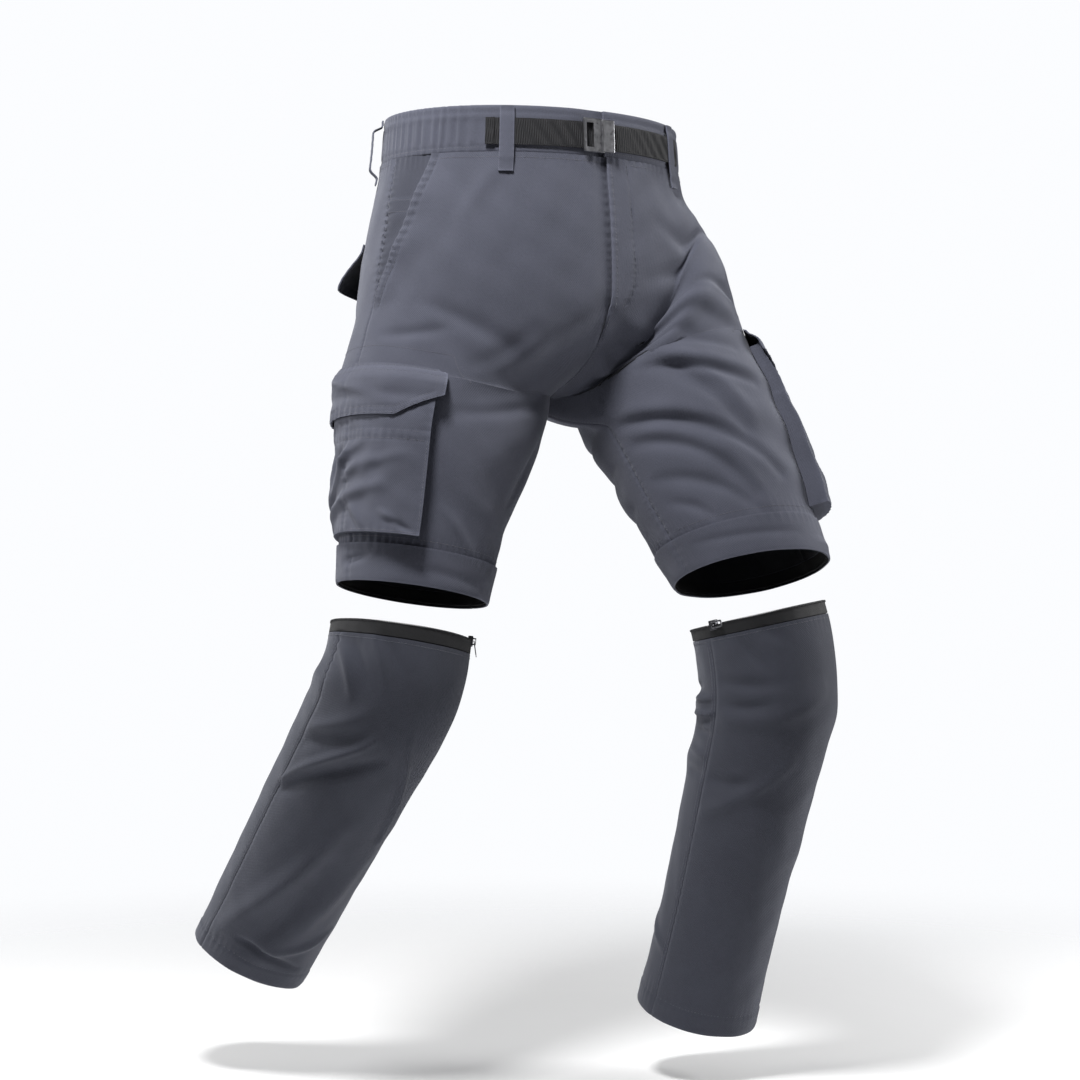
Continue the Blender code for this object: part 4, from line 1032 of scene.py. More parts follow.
# %% Facings
FACING_THICK = 0.0012
FACING_LAP = 0.07
FACING_BEHIND = 0.0024
FACING_BAND = (0.042, 0.056)
FACING_GATHERS = ((0.066, 0.0016), (0.083, -0.0014), (0.097, 0.0018), (0.116, -0.0016), (0.131, 0.0012))


def facing_lift(a, v):
    mouth = fine_mouth_edge(v) + 0.006
    rise = smooth(0.0, 1.0, (a - mouth) / np.maximum(1.0 - mouth, 0.02)) * smooth(0.145, 0.115, v)
    lift = -FACING_BEHIND * (1.0 - rise)
    top, bottom = FACING_BAND
    banded = smooth(top, top + 0.0012, v) * smooth(bottom, bottom - 0.0012, v)
    lift = lift + 0.0005 * banded * rise
    open_part = rise * smooth(1.0, 0.90, a)
    for middle, height in FACING_GATHERS:
        lift = lift + 1.15 * height * near(v - middle + 0.06 * (1.0 - a), 0.0070) * open_part
    return lift


def pocket_facing(side):
    v = rows_between(0.0002, 0.185, 0.0024)[:, None]
    start = np.minimum(fine_mouth_edge(v) - FACING_LAP, 1.0 - SEAM_GAP - 2 * FACING_LAP)
    a = start + (1.0 - SEAM_GAP - start) * np.linspace(0.0, 1.0, 40)[None, :]
    band_wear = near(v - FACING_BAND[0], 0.0015) + near(v - FACING_BAND[1], 0.0015)
    wear = 0.4 * band_wear + seam_wear(side, a, v)
    # The facing takes the darker canvas, painted shade for the pocket's hollow.
    cloth_piece("pocket_facing", SHORTS, side, a, v, facing_lift(a, v), FACING_THICK,
                [FACING_PAINTED_SHADE_FINISH, INSIDE_PAINTED_SHADE], wear=wear)

# %% [markdown]
# ### Back pocket flaps
# Each flap is pointed in the middle and hemmed by two rows of stitches. A flat plate would look stuck on,
# so it leans off the seat as it goes down, and one corner curls up.

# %% Back pocket flaps
BACK_FLAP = {"a": (1.30, 1.80), "v": (0.078, 0.126), "point": 0.008, "corner": 0.016}


def back_flap_bottom(across):
    return BACK_FLAP["v"][1] + BACK_FLAP["point"] * (1.0 - np.abs(2.0 * across - 1.0))


def back_flap_lift(across, t):
    """The flap leans off the seat as it goes down, and its outer lower corner curls up."""
    corner = smooth(0.45, 0.0, across) * smooth(0.15, 1.0, t)
    return CLOTH + 0.0010 + 0.0025 * smooth(0.0, 0.5, t) + BACK_FLAP["corner"] * corner


def back_flap(side):
    a = np.linspace(*BACK_FLAP["a"], 62)[None, :]
    t = np.linspace(0.0, 1.0, 26)[:, None]
    across = (a - a.min()) / (a.max() - a.min())
    top, low = BACK_FLAP["v"][0], back_flap_bottom(across)
    v = top + (low - top) * t
    rim = np.minimum(np.minimum(across, 1.0 - across) * 0.14, low - v)
    lift = back_flap_lift(across, t)
    lift = lift + 0.0003 * ripples(a * PANEL_WIDTH + v, 0.0085, 2.0 + side) * near(rim - 0.004, 0.005)
    lift = lift - 0.0004 * near(rim - 0.006, 0.0012)
    wear = 0.7 * near(rim, 0.0016)
    cloth_piece("back_flap", SHORTS, side, a, v, lift, CLOTH, TWO_FACED, wear=wear)


for side in (1, -1):
    pocket_facing(side)
    back_flap(side)

# %% [markdown]
# ## Cargo pockets and their flaps
# Each cargo pocket is a bellows pocket: a face on gussets, so it stands off the thigh, most at its front
# and lower edges. Its mouth is hidden by a flap with one cut-off corner. The face is crumpled from being
# folded flat, with long creases that run up and forwards from its lower back corner.

# %% Cargo pocket and its creased face
# Cargo pockets and flaps, both centred on the side seam
POCKET = {"half": 0.31, "v": (0.247, 0.404), "top": 0.011, "bottom": 0.020, "behind": 0.25, "foot": 0.0006}
FLAP = {"half": 0.33, "v": (0.226, 0.283), "chamfer_a": 0.80, "chamfer_v": 0.258}
POCKET_CREASES = {
    1: (
        (78, 330, 92, 372, 4, 7.5, 2.2), (74, 352, 86, 386, 3, 6, 1.8), (76, 312, 94, 340, 3, 6.5, -1.8),
        (90, 306, 106, 350, 5, 8, 1.8), (108, 316, 120, 372, 5, 8, -1.6),
        (122, 330, 104, 384, 4, 7.5, 1.6),
    ),
    -1: (
        (124, 372, 88, 318, 6, 7.5, 2.2), (122, 384, 84, 344, 4, 8, 2), (120, 358, 92, 300, 4, 6, 1.6),
        (118, 366, 96, 322, 2, 6, -1.6), (112, 312, 120, 352, 3, 6, 1.8),
        (104, 306, 114, 344, 3, 5.5, -1.4), (98, 302, 106, 334, 2, 5.5, 1.4),
        (96, 366, 90, 388, 1, 5, 1.4), (82, 372, 76, 388, 1, 4.5, 1.6), (80, 380, 72, 391, 1, 4, -1.6),
        (92, 330, 76, 310, 2, 7, 0.8),
    ),
}
POCKET_BAND = (0.2985, 0.3070)
POCKET_CRUMPLE = 1.6
POCKET_DROP = 0.011


def pocket_depth(a, v):
    """The pocket stands out most along its front and lower edges, and lies nearly flat behind."""
    top, bottom = POCKET["v"]
    deep = POCKET["top"] + (POCKET["bottom"] - POCKET["top"]) * np.clip((v - top) / (bottom - top), 0.0, 1.0)
    back = smooth(1.0 - POCKET["half"], 1.0 + 0.6 * POCKET["half"], a)
    return deep * (1.0 + (POCKET["behind"] - 1.0) * back)


def from_ends(piece, a):
    """Metres to the nearer end of a piece that is centred on the side seam."""
    return (piece["half"] - np.abs(a - 1.0)) * PANEL_WIDTH


def pocket_relief(side, a, v):
    """Creases of the face, fading at its rim, with puckers at the stitched band."""
    rim = from_ends(POCKET, a)
    inner = smooth(0.0, 0.008, rim) * smooth(POCKET["v"][1], POCKET["v"][1] - 0.006, v)
    lift = POCKET_CRUMPLE * creased(POCKET_CREASES, side, a, v - POCKET_DROP) * inner
    band = near(v - sum(POCKET_BAND) / 2, 0.0065)
    lift = lift + 0.0010 * ripples(a * PANEL_WIDTH, 0.0075, 6.0 + side) * band * inner
    for row in POCKET_BAND:
        lift = lift - 0.0005 * near(v - row, 0.0012)
    edge = near(rim - 0.002, 0.004)
    lift = lift + 0.0005 * ripples(v, 0.0085, 4.0 + side) * edge
    return lift + 0.0006 * wander(a * PANEL_WIDTH * 1.7, v * 1.7 + side) * inner


def cargo_pocket(side):
    half = POCKET["half"]
    top, bottom = POCKET["v"]
    inset = CLOTH / PANEL_WIDTH
    face = np.linspace(1.0 - half, 1.0 + half, 74)
    rows = rows_between(top, bottom, 0.0023)
    up = np.linspace(0.0, 1.0, 8)[:-1]
    skins = []
    for step in (0.0, 1.0):
        low = 1.0 - half + step * inset
        high = 1.0 + half - step * inset
        columns = np.array([*(0.0 * up + low), *np.clip(face, low, high), *(0.0 * up + high)])
        rise_a = np.array([*up, *np.ones(len(face)), *up[::-1]])
        end = bottom - step * CLOTH
        downs = np.array([*np.minimum(rows, end), *(0.0 * up + end)])
        rise_v = np.array([*np.ones(len(rows)), *up[::-1]])
        a, v = np.meshgrid(columns, downs)
        share = np.minimum(rise_a[None, :], rise_v[:, None])
        height = POCKET["foot"] + share * (pocket_depth(a, v) - step * CLOTH)
        height = height + pocket_relief(side, a, v) * smooth(0.5, 1.0, share)
        base, away = stands(SHORTS, side, a, v, height)
        pleat = np.sin(math.pi * rise_a)[None, :] * 0.0016 * (rise_a < 1.0)[None, :]
        tuck = np.where(columns[None, :] < 1.0, pleat, -pleat) / PANEL_WIDTH
        skins.append(base + (shorts(side, a + tuck, v) - shorts(side, a, v)))
    rim = from_ends(POCKET, a)
    wear = 0.85 * near(share - 1.0, 0.12) * near(rim, 0.0022) + 0.5 * near(v - POCKET_BAND[0], 0.0012)
    wear = wear + 0.8 * near(bottom - v, 0.0030) * (share > 0.7)
    piece = shell(f"{sided('cargo_pocket', side)}_cloth", *skins, TWO_FACED, wear=wear)
    declare(piece, skins[0])

# %% [markdown]
# ### The cargo pocket's flap
# The flap lies over the pocket's mouth, so its height follows the pocket's own depth. It is one grid with
# its lower edge cut off at one corner, which is simpler than trimming a rectangle afterwards.

# %% Cargo flap
def flap_bottom(a):
    ramp = np.clip((a - (1.0 - FLAP["half"])) / (FLAP["chamfer_a"] - (1.0 - FLAP["half"])), 0.0, 1.0)
    return FLAP["chamfer_v"] + (FLAP["v"][1] - FLAP["chamfer_v"]) * ramp


def flap_lift(side, a, v):
    """The flap's height above the thigh, with a soft dent, a rolled top edge and puckered hems."""
    top = FLAP["v"][0]
    full = pocket_depth(a, v) + 0.0022 + CLOTH
    lift = 0.0006 + CLOTH + (full - 0.0006 - CLOTH) * smooth(top, top + 0.021, v)
    up = flap_bottom(a) - v
    rim = np.minimum(up, from_ends(FLAP, a))
    loose = smooth(0.0, 0.012, rim)
    lift = lift + 0.0022 * creased_flap(side, a, v) * loose
    lift = lift + 0.0011 * ripples(a * PANEL_WIDTH, 0.0080, 7.0 + side) * near(up - 0.004, 0.0065)
    lift = lift + 0.0005 * ripples(a * PANEL_WIDTH, 0.0085, 3.0 + side) * near(v - top - 0.006, 0.006)
    return lift - 0.0005 * (near(rim - 0.0075, 0.0012) + near(v - top - 0.0095, 0.0014))


def creased_flap(side, a, v):
    x = a * PANEL_WIDTH
    slope = 0.35 * side
    slanted = near(v - 0.252 - slope * (x - 0.28), 0.0060) * smooth(0.20, 0.26, x)
    upright = near(x - 0.225 + side * 0.01, 0.008) * near(v - 0.255, 0.012)
    return slanted - 0.8 * near(v - 0.263, 0.007) + 0.5 * upright


def cargo_flap(side):
    a = np.linspace(1.0 - FLAP["half"], 1.0 + FLAP["half"], 80)[None, :]
    t = np.linspace(0.0, 1.0, 30)[:, None]
    v = FLAP["v"][0] + (flap_bottom(a) - FLAP["v"][0]) * t
    rim = np.minimum(flap_bottom(a) - v, from_ends(FLAP, a))
    wear = 0.9 * near(rim, 0.0014) + 0.35 * near(v - FLAP["v"][0] - 0.0060, 0.003)
    lift = flap_lift(side, a, v)
    cloth_piece("cargo_flap", SHORTS, side, a, v, lift, CLOTH, TWO_FACED, wear=wear)


for side in (1, -1):
    cargo_pocket(side)
    cargo_flap(side)
print("pockets:", COUNT)

# %% [markdown]
# ## Knee bands, lower legs and the zip tapes
# The zip that lets each leg off runs round the knee. Its upper tape is hidden behind a folded band, so
# the open hem of the shorts looks finished. The lower legs carry the other tape along their top edge.

# %% Knee bands and lower legs
RING = np.linspace(0.0, 2.0, 169)[:-1]
KNEE_BAND_TOP = 0.4142
KNEE_CREASES = {
    1: (
        (10, 428, 52, 434, 1, 5, -1), (60, 442, 96, 436, 1, 5, 0.8), (130, 430, 176, 438, 1, 5.5, -1),
    ),
    -1: (
        (30, 440, 78, 432, 2, 6, -0.9), (90, 427, 104, 433, 1, 5, -2), (120, 436, 170, 430, 1, 5.5, -1),
    ),
}


def knee_relief(side, a, v):
    inner = from_inseam(a)
    x = a * PANEL_WIDTH
    lift = seam_relief(side, a, v) + 0.00045 * wander(x + side, v)
    lift = lift + 0.0006 * ripples(x, 0.0105, 8.0 + side) * near(v - 0.4185, 0.006) * smooth(0.0, 0.06, inner)
    lift = lift + creased(KNEE_CREASES, side, a, v) * smooth(0.0, 0.05, inner)
    return lift - 0.0007 * near(HEM - v, 0.0016)


KNEE = (shorts, knee_relief)

# %% [markdown]
# ### Knee bands
# A closed ring of cloth, a little proud of the shorts. It is lofted as a tube, so it has no seam to close.

# %% Knee band and its hidden tape
def knee_band(side):
    v = rows_between(KNEE_BAND_TOP, HEM, 0.0022)[:, None]
    wear = 0.8 * near(HEM - v, 0.0012) + 0.7 * near(v - KNEE_BAND_TOP, 0.0008) + 0.0 * RING[None, :]
    cloth_piece("knee_band", KNEE, side, RING[None, :], v, 0.0005 + KNEE_BAND_CLOTH, KNEE_BAND_CLOTH,
                TWO_FACED, wrap=True, wear=wear)
    tape = np.array([PANEL_END + 0.0004, 0.4425, 0.4485])[:, None]
    cloth_piece("thigh_zip", KNEE, side, RING[None, ::2], tape, 0.0, TAPE_THICK, [TAPE_FINISH],
                wrap=True)

# %% [markdown]
# ### Lower legs
# Front and back are two panels that meet at the seams, with a doubled hem. The zip tape runs on behind
# their upper edge, as it does when it is sewn in, so that no light shows between tape and cloth.

# %% Lower leg and its tape
LOWER_HEM = 0.022


def lower_lift(d):
    """The hem is doubled below its stitches, which draw a groove."""
    line = LOWER_LENGTH - LOWER_HEM
    rise = 0.0005 * smooth(line, line + 0.0012, d) - 0.0006 * near(d - line, 0.0012)
    return rise - 0.0005 * near(d - LOWER_LENGTH, 0.0012)


def lower_panels(side):
    d = rows_between(LEG_TAPE + GAP, LOWER_LENGTH, 0.0027)[:, None]
    for name, start in (("lower_front", 0.0), ("lower_back", 1.0)):
        a = np.linspace(start + SEAM_GAP, start + 1.0 - SEAM_GAP, 84)[None, :]
        wear = seam_wear(side, a, d + 0.05) + 0.8 * near(LOWER_LENGTH - d, 0.0012)
        # The lower panels take the darker canvas and the nearly black inside, both painted shade.
        cloth_piece(name, LOWER_LEG, side, a, d, lower_lift(d), CLOTH, [LOWER_PAINTED_SHADE_FINISH, INSIDE_PAINTED_SHADE],
                    wear=wear)
    tape = np.array([0.0, 0.0025, 0.0050, 0.0075, 0.0098, 0.0114, 0.0122, 0.0165])[:, None]
    behind = -(CLOTH + GAP) * (tape > LEG_TAPE)
    cloth_piece("leg_zip", LOWER_LEG, side, RING[None, ::2], tape, behind, TAPE_THICK, [TAPE_FINISH],
                wrap=True)


for side in (1, -1):
    knee_band(side)
    lower_panels(side)
print("legs:", COUNT)

# %% [markdown]
# ## Zip teeth
# The coil of a zip is a row of small loops along the tape's edge. Here each is one rounded lump that
# clasps the edge, and all the lumps of one tape are joined in one mesh.

# %% Teeth along an edge
TOOTH = {"pitch": 0.00165, "across": 0.0011, "tall": 0.0026, "out": 0.0013}
LUMP_SIDES = 8
LUMP_ENDS = 0.72
LUMP_RING = np.array([(-1, -0.5), (-0.5, -1), (0.5, -1), (1, -0.5), (1, 0.5), (0.5, 1), (-0.5, 1), (-1, 0.5)])
LUMP = np.array([(x * wide, y * wide, z) for z, wide in ((-1.0, LUMP_ENDS), (0.0, 1.0), (1.0, LUMP_ENDS))
                 for x, y in LUMP_RING])


def tube_faces(rings, sides):
    """The faces of a closed tube of rings of points."""
    pairs = [(r * sides, k, (k + 1) % sides) for r in range(rings - 1) for k in range(sides)]
    faces = [(ring + k, ring + after, ring + sides + after, ring + sides + k) for ring, k, after in pairs]
    return faces + [tuple(range(sides - 1, -1, -1)), tuple(range((rings - 1) * sides, rings * sides))]


def joined(name, finish, points, faces, per, body=SHORTS_BODY):
    """Many copies of one small form, given as an array of their points, in one mesh."""
    offsets = (np.arange(len(points)) * per).tolist()
    every = [tuple(start + corner for corner in face) for start in offsets for face in faces]
    mesh = bpy.data.meshes.new(name)
    mesh.from_pydata(points.reshape(-1, 3).tolist(), [], every)
    mesh.materials.append(finish)
    mesh.shade_smooth()
    return add_piece(name, mesh, body)


def zip_teeth(name, cloth, side, d, skip):
    """Lumps round a tape's edge, except near the slider."""
    around = np.linspace(0.0, 2.0, 600)
    line, _ = stands(cloth, side, around, d, -TAPE_THICK / 2)
    reach = np.concatenate([[0.0], np.cumsum(np.linalg.norm(np.diff(line, axis=0), axis=1))])
    at = np.arange(0.0, reach[-1] - TOOTH["pitch"] / 2, TOOTH["pitch"])
    turn = np.interp(at, reach, around)
    keep = np.abs((turn - skip[0] + 1.0) % 2.0 - 1.0) > skip[1]
    turn = turn[keep]
    centre, out = stands(cloth, side, turn, d, -TAPE_THICK / 2)
    ahead, _ = stands(cloth, side, turn + 0.002, d, -TAPE_THICK / 2)
    across = unit(ahead - centre)
    down = unit(np.cross(across, out))
    size = np.array([TOOTH["across"] / 2, TOOTH["tall"] / 2, TOOTH["out"]])
    points = centre[:, None] + LUMP * size @ np.stack([across, down, out], axis=1)
    teeth = joined(name, COIL_FINISH, points, tube_faces(3, LUMP_SIDES), len(LUMP))


SLIDER_AT = {1: (0.042, 0.045), -1: (0.208, 0.045)}
for side in (1, -1):
    zip_teeth(f"{sided('leg_zip', side)}_teeth", LOWER_LEG, side, 0.0002, SLIDER_AT[side])
    zip_teeth(f"{sided('thigh_zip', side)}_teeth", KNEE, side, 0.4483, (0.0, 0.0))
print("teeth:", COUNT)

# %% [markdown]
# ## Waistband, belt and loops
# The waistband is one strip. Elastic inside it gathers the cloth from hip to hip round the back, and
# its front is plain. The belt is ribbed webbing that runs through the front loops to the buckle.

# %% Waistband
# Waistband: degrees round from the middle of the front, positive to the wearer's left
BAND_END = -0.5
BAND_UNDER = 371.5
GATHER_FROM = 50.0
WAIST_STITCH = (-0.0385, -0.0042)
WAIST_RADIUS = 0.155
WAIST_TOP = -0.046


def strip_piece(name, turns, rows, lift, thick, finishes, wear=None):
    turns, rows, lift = np.broadcast_arrays(turns, rows, lift)
    base = band(turns, rows)
    away = band_outward(turns, rows)
    outer = base + away * lift[..., None]
    piece = shell(f"{name}_cloth", outer, outer - away * thick, finishes, wear=wear)
    declare(piece, base)


def gathers(turn, v):
    """Uneven vertical folds between the two rows of stitches, flatter in the strip above them."""
    s = np.radians(turn) * WAIST_RADIUS
    middle = np.abs(turn - 180.0)
    elastic = smooth(180.0 - GATHER_FROM + 6.0, 180.0 - GATHER_FROM - 8.0, middle)
    wave = ripples(s, 0.0125, 0.7) + 0.45 * ripples(s, 0.0068, 2.9)
    lean = ripples(s + 0.02 * (v + 0.02), 0.0125, 0.7)
    upper, under = WAIST_STITCH
    between = smooth(upper, upper + 0.010, v) * smooth(under, under - 0.008, v)
    strip_part = smooth(upper, upper - 0.003, v)
    lift = 0.0014 * elastic * (0.6 * wave + 0.4 * lean) * (0.35 + 0.65 * between)
    lift = lift + 0.0003 * strip_part * ripples(s, 0.0065, 5.0) * (0.3 + 0.7 * elastic)
    lift = lift + 0.00022 * ripples(s, 0.0080, 1.1) * near(v - under, 0.006)
    for row in WAIST_STITCH:
        lift = lift - 0.00085 * near(v - row, 0.0012)
    return lift - 0.0005 * near(v - WAIST_TOP, 0.0012) - 0.0012 * near(v, 0.0016)


def waistband():
    turns = np.linspace(BAND_END, BAND_UNDER, 640)[None, :]
    rows = rows_between(WAIST_TOP, -0.0002, 0.0021)[:, None]
    under = -(BAND_CLOTH + 2 * GAP) * smooth(345.0, 358.0, turns)
    shown = smooth(358.0, 345.0, turns)
    lift = gathers(turns, rows) * shown + under
    wear = 0.8 * near(rows - WAIST_TOP, 0.0014) + 0.35 * near(rows - WAIST_STITCH[0], 0.002) + 0.0 * turns
    strip_piece("waistband", turns, rows, lift, BAND_CLOTH, TWO_FACED,
                wear)


waistband()

# %% [markdown]
# ### The belt
# The webbing's ribs are modelled as well as painted, because they show along its edges. Its right end
# is folded over, which leaves a step. Both lengths stop at the buckle.

# %% Belt and its folded end
BELT_ROWS = (-0.0330, -0.0065)
BELT_ANCHOR = 46.0
BELT_BUCKLE = -4.0
BELT_GAP = 0.25
BELT_LIFT = GAP + WEBBING_THICK + 0.0002
RIB = {"pitch": 0.0024, "height": 0.00022}
FOLDED_END = 3.2
BELT_RADIUS = 0.150


def belt_lift(turns, rows):
    s = np.radians(turns) * BELT_RADIUS
    low, high = BELT_ROWS
    edge = np.minimum(rows - low, high - rows)
    wave = np.sin(2.0 * math.pi * (s + 0.12 * rows) / RIB["pitch"])
    ribs = RIB["height"] * wave * smooth(0.0, 0.0020, edge)
    return BELT_LIFT + ribs - 0.0003 * near(edge, 0.0009)


def belt_length(name, start, end, columns):
    rows = np.linspace(*BELT_ROWS, 15)[:, None]
    turns = np.linspace(start, end, columns)[None, :]
    folded = WEBBING_THICK * smooth(FOLDED_END + 0.25, FOLDED_END, turns + BELT_ANCHOR)
    strip_piece(name, turns, rows, belt_lift(turns, rows) + folded, WEBBING_THICK, [WEBBING_FINISH])


belt_length("belt_right", -BELT_ANCHOR, BELT_BUCKLE - BELT_GAP, 300)
belt_length("belt_left", BELT_BUCKLE + BELT_GAP, BELT_ANCHOR, 330)

# %% [markdown]
# ### Belt loops
# A loop is a narrow strip, stitched flat at both ends, that bows out over the belt. A curve with a flat
# bevel could make it, but a grid on the waistband's surface keeps its ends lying on the cloth.

# %% Belt loops
# Degrees round, and how far the middle stands off the waistband
LOOP_WIDTH = 0.014
LOOP_BOTTOM = 0.020
LOOP_CLOTH = 0.0012
LOOPS = {
    "belt_loop_front_right": (-38.0, 0.0028),
    "belt_loop_front_left": (38.0, 0.0028),
    "belt_loop_side_right": (-112.0, 0.0105),
    "belt_loop_side_left": (112.0, 0.0105),
    "belt_loop_back": (180.0, 0.0085),
}
LOOP_KNOTS = (-0.0450, -0.0400, -0.0350, -0.0280, -0.0195, -0.0110, -0.0040, 0.0020, 0.0090, 0.0145)


def belt_loop(name, turn, stand):
    half = math.degrees(LOOP_WIDTH / 2 / BELT_RADIUS)
    turns = np.linspace(turn - half, turn + half, 11)[None, :]
    rows = np.linspace(-0.0450, LOOP_BOTTOM, 54)[:, None]
    knots = np.array([*LOOP_KNOTS, LOOP_BOTTOM])
    t = np.interp(rows, knots, np.linspace(0.0, 1.0, len(knots)))
    bow = smooth(0.10, 0.24, t) * smooth(0.90, 0.74, t)
    across = (turns - turn) / half
    lift = 0.0016 + LOOP_CLOTH + (stand - 0.0016) * bow
    lift = lift - 0.0003 * near(np.abs(across) - 0.62, 0.14) - 0.0004 * smooth(0.85, 1.0, np.abs(across))
    lift = lift + 0.0002 * ripples(rows, 0.0075, 2.0 + turn) * near(np.abs(across) - 0.8, 0.3)
    wear = 0.9 * smooth(0.75, 1.0, np.abs(across)) + 0.6 * near(rows - LOOP_BOTTOM, 0.0015)
    strip_piece(name, turns, rows, lift, LOOP_CLOTH, TWO_FACED, wear)


for name, (turn, stand) in LOOPS.items():
    belt_loop(name, turn, stand)
print("waist:", COUNT)

# %% [markdown]
# ## Stitches
# Every seam that shows is sewn in thread of nearly the cloth's own colour. A stitch is a short strand
# that bows up out of the cloth and dives back in, about 3 mm long. The rows are laid along paths in the
# surfaces' own coordinates, so they follow each crease, and each region's stitches are one mesh.

# %% Strands along a path
STITCH = {"pitch": 0.0034, "length": 0.0026, "radius": 0.00025, "bow": 0.00022, "sunk": 0.00018}
SIDES = 5
RINGS = 4


def strands(line, away):
    """Points of every stitch along a line of points on the cloth."""
    reach = np.concatenate([[0.0], np.cumsum(np.linalg.norm(np.diff(line, axis=0), axis=1))])
    starts = np.arange(STITCH["pitch"] * 0.3, reach[-1] - STITCH["length"], STITCH["pitch"])
    share = np.linspace(0.0, 1.0, RINGS)
    at = starts[:, None] + share[None, :] * STITCH["length"]
    centre = np.stack([np.interp(at, reach, line[:, k]) for k in range(3)], axis=-1)
    out = unit(np.stack([np.interp(at, reach, away[:, k]) for k in range(3)], axis=-1))
    rise = -STITCH["sunk"] + (STITCH["sunk"] + STITCH["bow"]) * np.sin(math.pi * share) ** 0.7
    centre = centre + out * rise[None, :, None]
    along_it = unit(centre[:, -1] - centre[:, 0])[:, None]
    sideways = unit(np.cross(along_it, out))
    angles = 2.0 * math.pi * np.arange(SIDES) / SIDES
    ring = (np.cos(angles)[:, None] * sideways[:, :, None] + np.sin(angles)[:, None] * out[:, :, None])
    width = np.array([0.62, 1.0, 1.0, 0.62])[None, :, None, None]
    return (centre[:, :, None] + STITCH["radius"] * width * ring).reshape(len(starts), -1, 3)


RUNS = {}


def sew(region, cloth, side, a, v, lift=0.0):
    """A row of stitches along a path of at least two corners, given by its a and v."""
    a, v = np.broadcast_arrays(np.asarray(a, float), np.asarray(v, float))
    if len(a) < 40:
        keys = np.linspace(0.0, 1.0, len(a))
        t = np.linspace(0.0, 1.0, 240)
        a, v = np.interp(t, keys, a), np.interp(t, keys, v)
    height = lift(a, v) if callable(lift) else lift
    line, away = stands(cloth, side, a, v, height)
    RUNS.setdefault(region, []).append(strands(line, away))

# %% [markdown]
# ### Where the rows run
# A row is given by its ends in the surface's own coordinates. Twin rows hold the pocket mouths and the
# seat seam, and one row runs above each band. Rows on raised pieces take that piece's height.

# %% Rows on the shorts
MM = 0.001 / PANEL_WIDTH
WAIST_ROW = 0.0055
ABOVE_BAND = 0.4075


def sew_shorts(side):
    def on_front(a, v):
        return front_lift(side, a, v)

    def row(a, v, lift=0.0):
        sew(sided("stitches_shorts", side), SHORTS, side, a, v, lift)

    mouth = np.linspace(0.006, MOUTH_DEPTH - 0.004, 200)
    for inset in (1.8, 10.0):
        row(fine_mouth_edge(mouth) - inset * MM, mouth, on_front)
    row(np.linspace(0.12 if side > 0 else 0.03, 0.74, 260), WAIST_ROW, on_front)
    row(np.linspace(1.02, 1.99, 260), WAIST_ROW)
    row(np.linspace(0.03, 1.97, 500), ABOVE_BAND)
    row(2.5 * MM, np.linspace(0.24, 0.41, 160))
    for inset in (2.0, 7.0):
        row(2.0 - inset * MM, np.linspace(0.012, 0.20, 160))
    row(1.0 + 2.2 * MM, np.linspace(0.006, 0.212, 60))
    for v in (FACING_BAND[0] + 0.0012, FACING_BAND[1] - 0.0012):
        row(np.linspace(fine_mouth_edge(v) + 0.012, 0.985, 60), v, facing_lift)
    # The bag of the hand pocket is caught in a row that shows as a box beside the cargo flap
    row([1.30, 1.0, 0.62, 0.60, 0.60], [0.206, 0.205, 0.206, 0.207, 0.238])
    low, high = BACK_FLAP["a"]
    for line in (0.005, 0.0065):
        a = np.linspace(low + line / PANEL_WIDTH, high - line / PANEL_WIDTH, 120)
        across = (a - low) / (high - low)
        v = back_flap_bottom(across) - line
        row(a, v, back_flap_lift(across, (v - BACK_FLAP["v"][0]) / (v + line - BACK_FLAP["v"][0])))


def on_left_front(a, v):
    return front_lift(1, a, v)


for side in (1, -1):
    sew_shorts(side)
down = np.linspace(0.004, FLY_STITCH["end"] - 0.0005, 260)
below = np.linspace(0.156, 0.222, 80)
for a, v in ((fly_width(down) / PANEL_WIDTH, down), (5.0 * MM, down), (2.2 * MM, below)):
    sew("stitches_fly", SHORTS, 1, a, v, on_left_front)

# %% Rows on the cargo pockets and their flaps


def sew_cargo(side):
    def on_pocket(a, v):
        return POCKET["foot"] + pocket_depth(a, v) + pocket_relief(side, a, v)

    def on_flap(a, v):
        return flap_lift(side, a, v)

    def row(a, v, lift):
        sew(sided("stitches_cargo", side), SHORTS, side, a, v, lift)

    half, foot = POCKET["half"], POCKET["v"][1] - 0.002
    for v in POCKET_BAND:
        row(np.linspace(1.01 - half, 0.99 + half, 200), v, on_pocket)
    ends = (1.0 - half + 2.0 * MM, 1.0 + half - 2.0 * MM)
    for a in ends:
        row(a, np.linspace(0.306, foot, 120), on_pocket)
    row(np.linspace(*ends, 200), foot, on_pocket)
    half, top = FLAP["half"], FLAP["v"][0]
    for line in (0.0016, 0.0075):
        ends = (1.0 - half + line / PANEL_WIDTH, 1.0 + half - line / PANEL_WIDTH)
        a = np.linspace(*ends, 220)
        row(a, flap_bottom(a) - line, on_flap)
        for a in ends:
            row(a, np.linspace(top + 0.010, flap_bottom(a) - line, 60), on_flap)
    for down in (0.0025, 0.0095):
        row(np.linspace(1.01 - half, 0.99 + half, 200), top + down, on_flap)

# %% Rows on the lower legs and round the waist
def sew_lower(side):
    region = sided("stitches_lower", side)
    for d in (LOWER_LENGTH - LOWER_HEM, LEG_TAPE + 0.0035):
        sew(region, LOWER_LEG, side, np.linspace(0.01, 1.99, 500), d, lower_lift(d))
    down = np.linspace(0.020, 0.404, 300)
    for inset in (2.0, 7.0):
        for a in (2.0 - inset * MM, 1.0 + inset * MM):
            sew(region, LOWER_LEG, side, a, down, lower_lift(down))


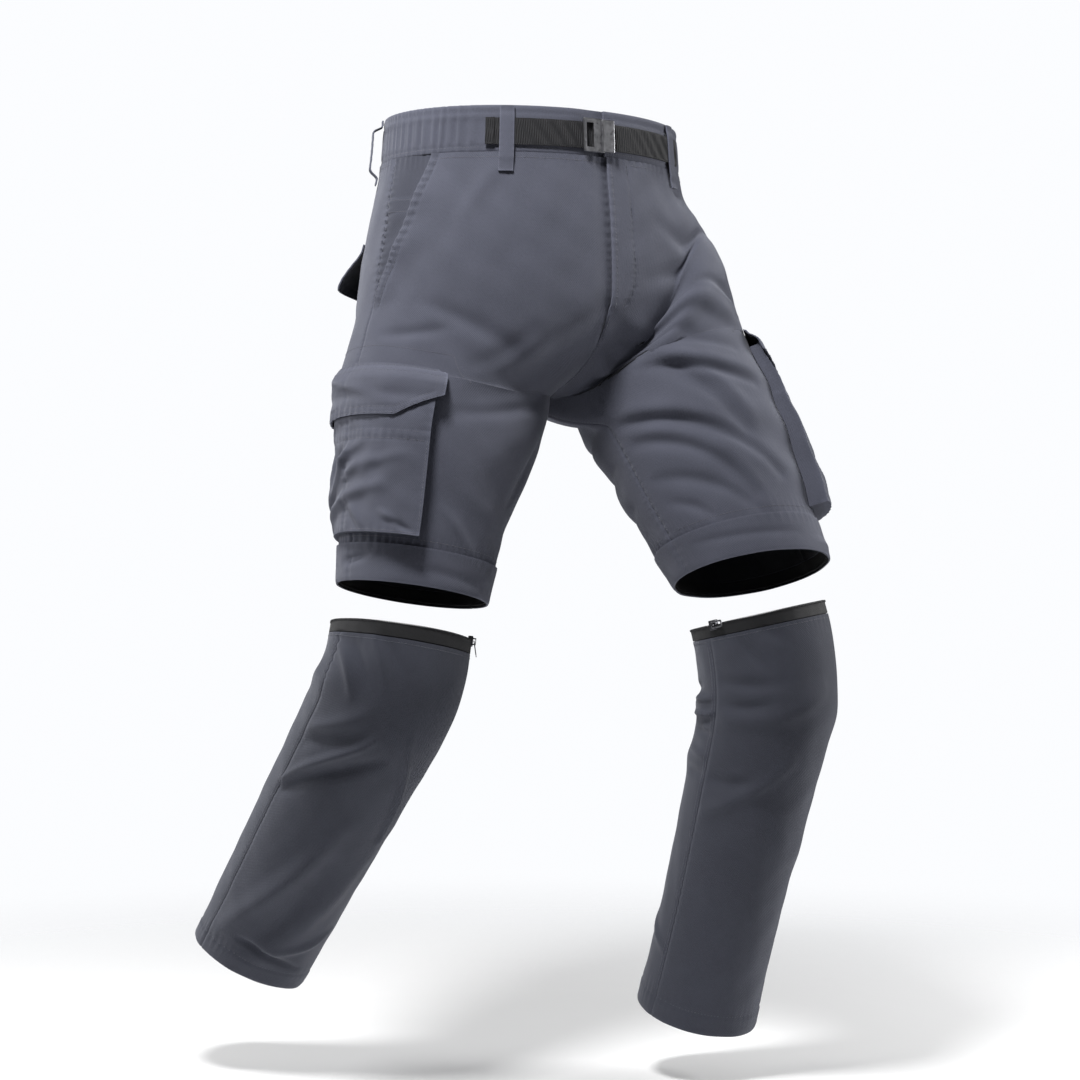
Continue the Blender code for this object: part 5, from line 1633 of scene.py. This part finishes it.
for side in (1, -1):
    sew_cargo(side)
    sew_lower(side)
turns = np.linspace(BAND_END + 0.8, 343.0, 1400)
for v in WAIST_STITCH:
    away = band_outward(turns, v)
    line = band(turns, v) + away * gathers(turns, v)[:, None]
    RUNS.setdefault("stitches_waist", []).append(strands(line, away))

# %% Thread
for region, runs in RUNS.items():
    points = np.concatenate(runs)
    piece = joined(region, THREAD_FINISH, points, tube_faces(RINGS, SIDES), SIDES * RINGS)
    print(region, len(points), "stitches")

# %% [markdown]
# ## Buckle, sliders and pulls
# These hard parts keep the shapes of their solids. Only their finish changes: plated gun-metal that has
# been rubbed brighter along its high places.

# %% Metal
for name in ("belt_buckle", "zip_slider_left", "zip_slider_right", "zip_pull_left", "zip_pull_right"):
    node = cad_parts[name]
    for place in node.material_slots:
        place.material = METAL_FINISH if name == "belt_buckle" or "pull" in name else DARK_METAL

# %% [markdown]
# ## Floor
# The garment hangs a little above a plain pale floor, as it would on an unseen stand. The floor is a
# round sheet of white paper that fades out into the white room, so that no horizon cuts the picture.

# %% Floor
FLOOR_HEIGHT = -0.96
floor_mesh = bpy.data.meshes.new("studio_floor")
FLOOR_REACH = 1.6
CORNERS = 96
corners = 2 * math.pi * np.arange(CORNERS) / CORNERS
across, along_it = FLOOR_REACH * np.cos(corners), FLOOR_REACH * np.sin(corners)
rim = [(x, y, FLOOR_HEIGHT) for x, y in zip(across.tolist(), along_it.tolist())]
floor_mesh.from_pydata(rim, [], [tuple(range(CORNERS))])
floor = bpy.data.objects.new("studio_floor", floor_mesh)
bpy.context.scene.collection.objects.link(floor)
paper = Finish("studio_paper", Roughness=0.9, Specular_IOR_Level=0.1, Emission_Strength=0.12)
paper.shader.inputs["Base Color"].default_value = (0.92, 0.92, 0.92, 1.0)
paper.shader.inputs["Emission Color"].default_value = (1.0, 1.0, 1.0, 1.0)
from_middle = paper.node("ShaderNodeVectorMath", {"operation": "MULTIPLY"},
                         {0: paper.place(), 1: (1.0, 1.0, 0.0)}, out="Vector")
away = paper.node("ShaderNodeVectorMath", {"operation": "LENGTH"}, {0: from_middle}, out="Value")
fading = paper.node("ShaderNodeMapRange", {"interpolation_type": "SMOOTHSTEP"},
                    {"Value": away, "From Min": 0.35, "From Max": FLOOR_REACH, "To Min": 1.0, "To Max": 0.0})
floor_mesh.materials.append(paper.feed(Alpha=fading))

# %% Totals
print("total:", COUNT)
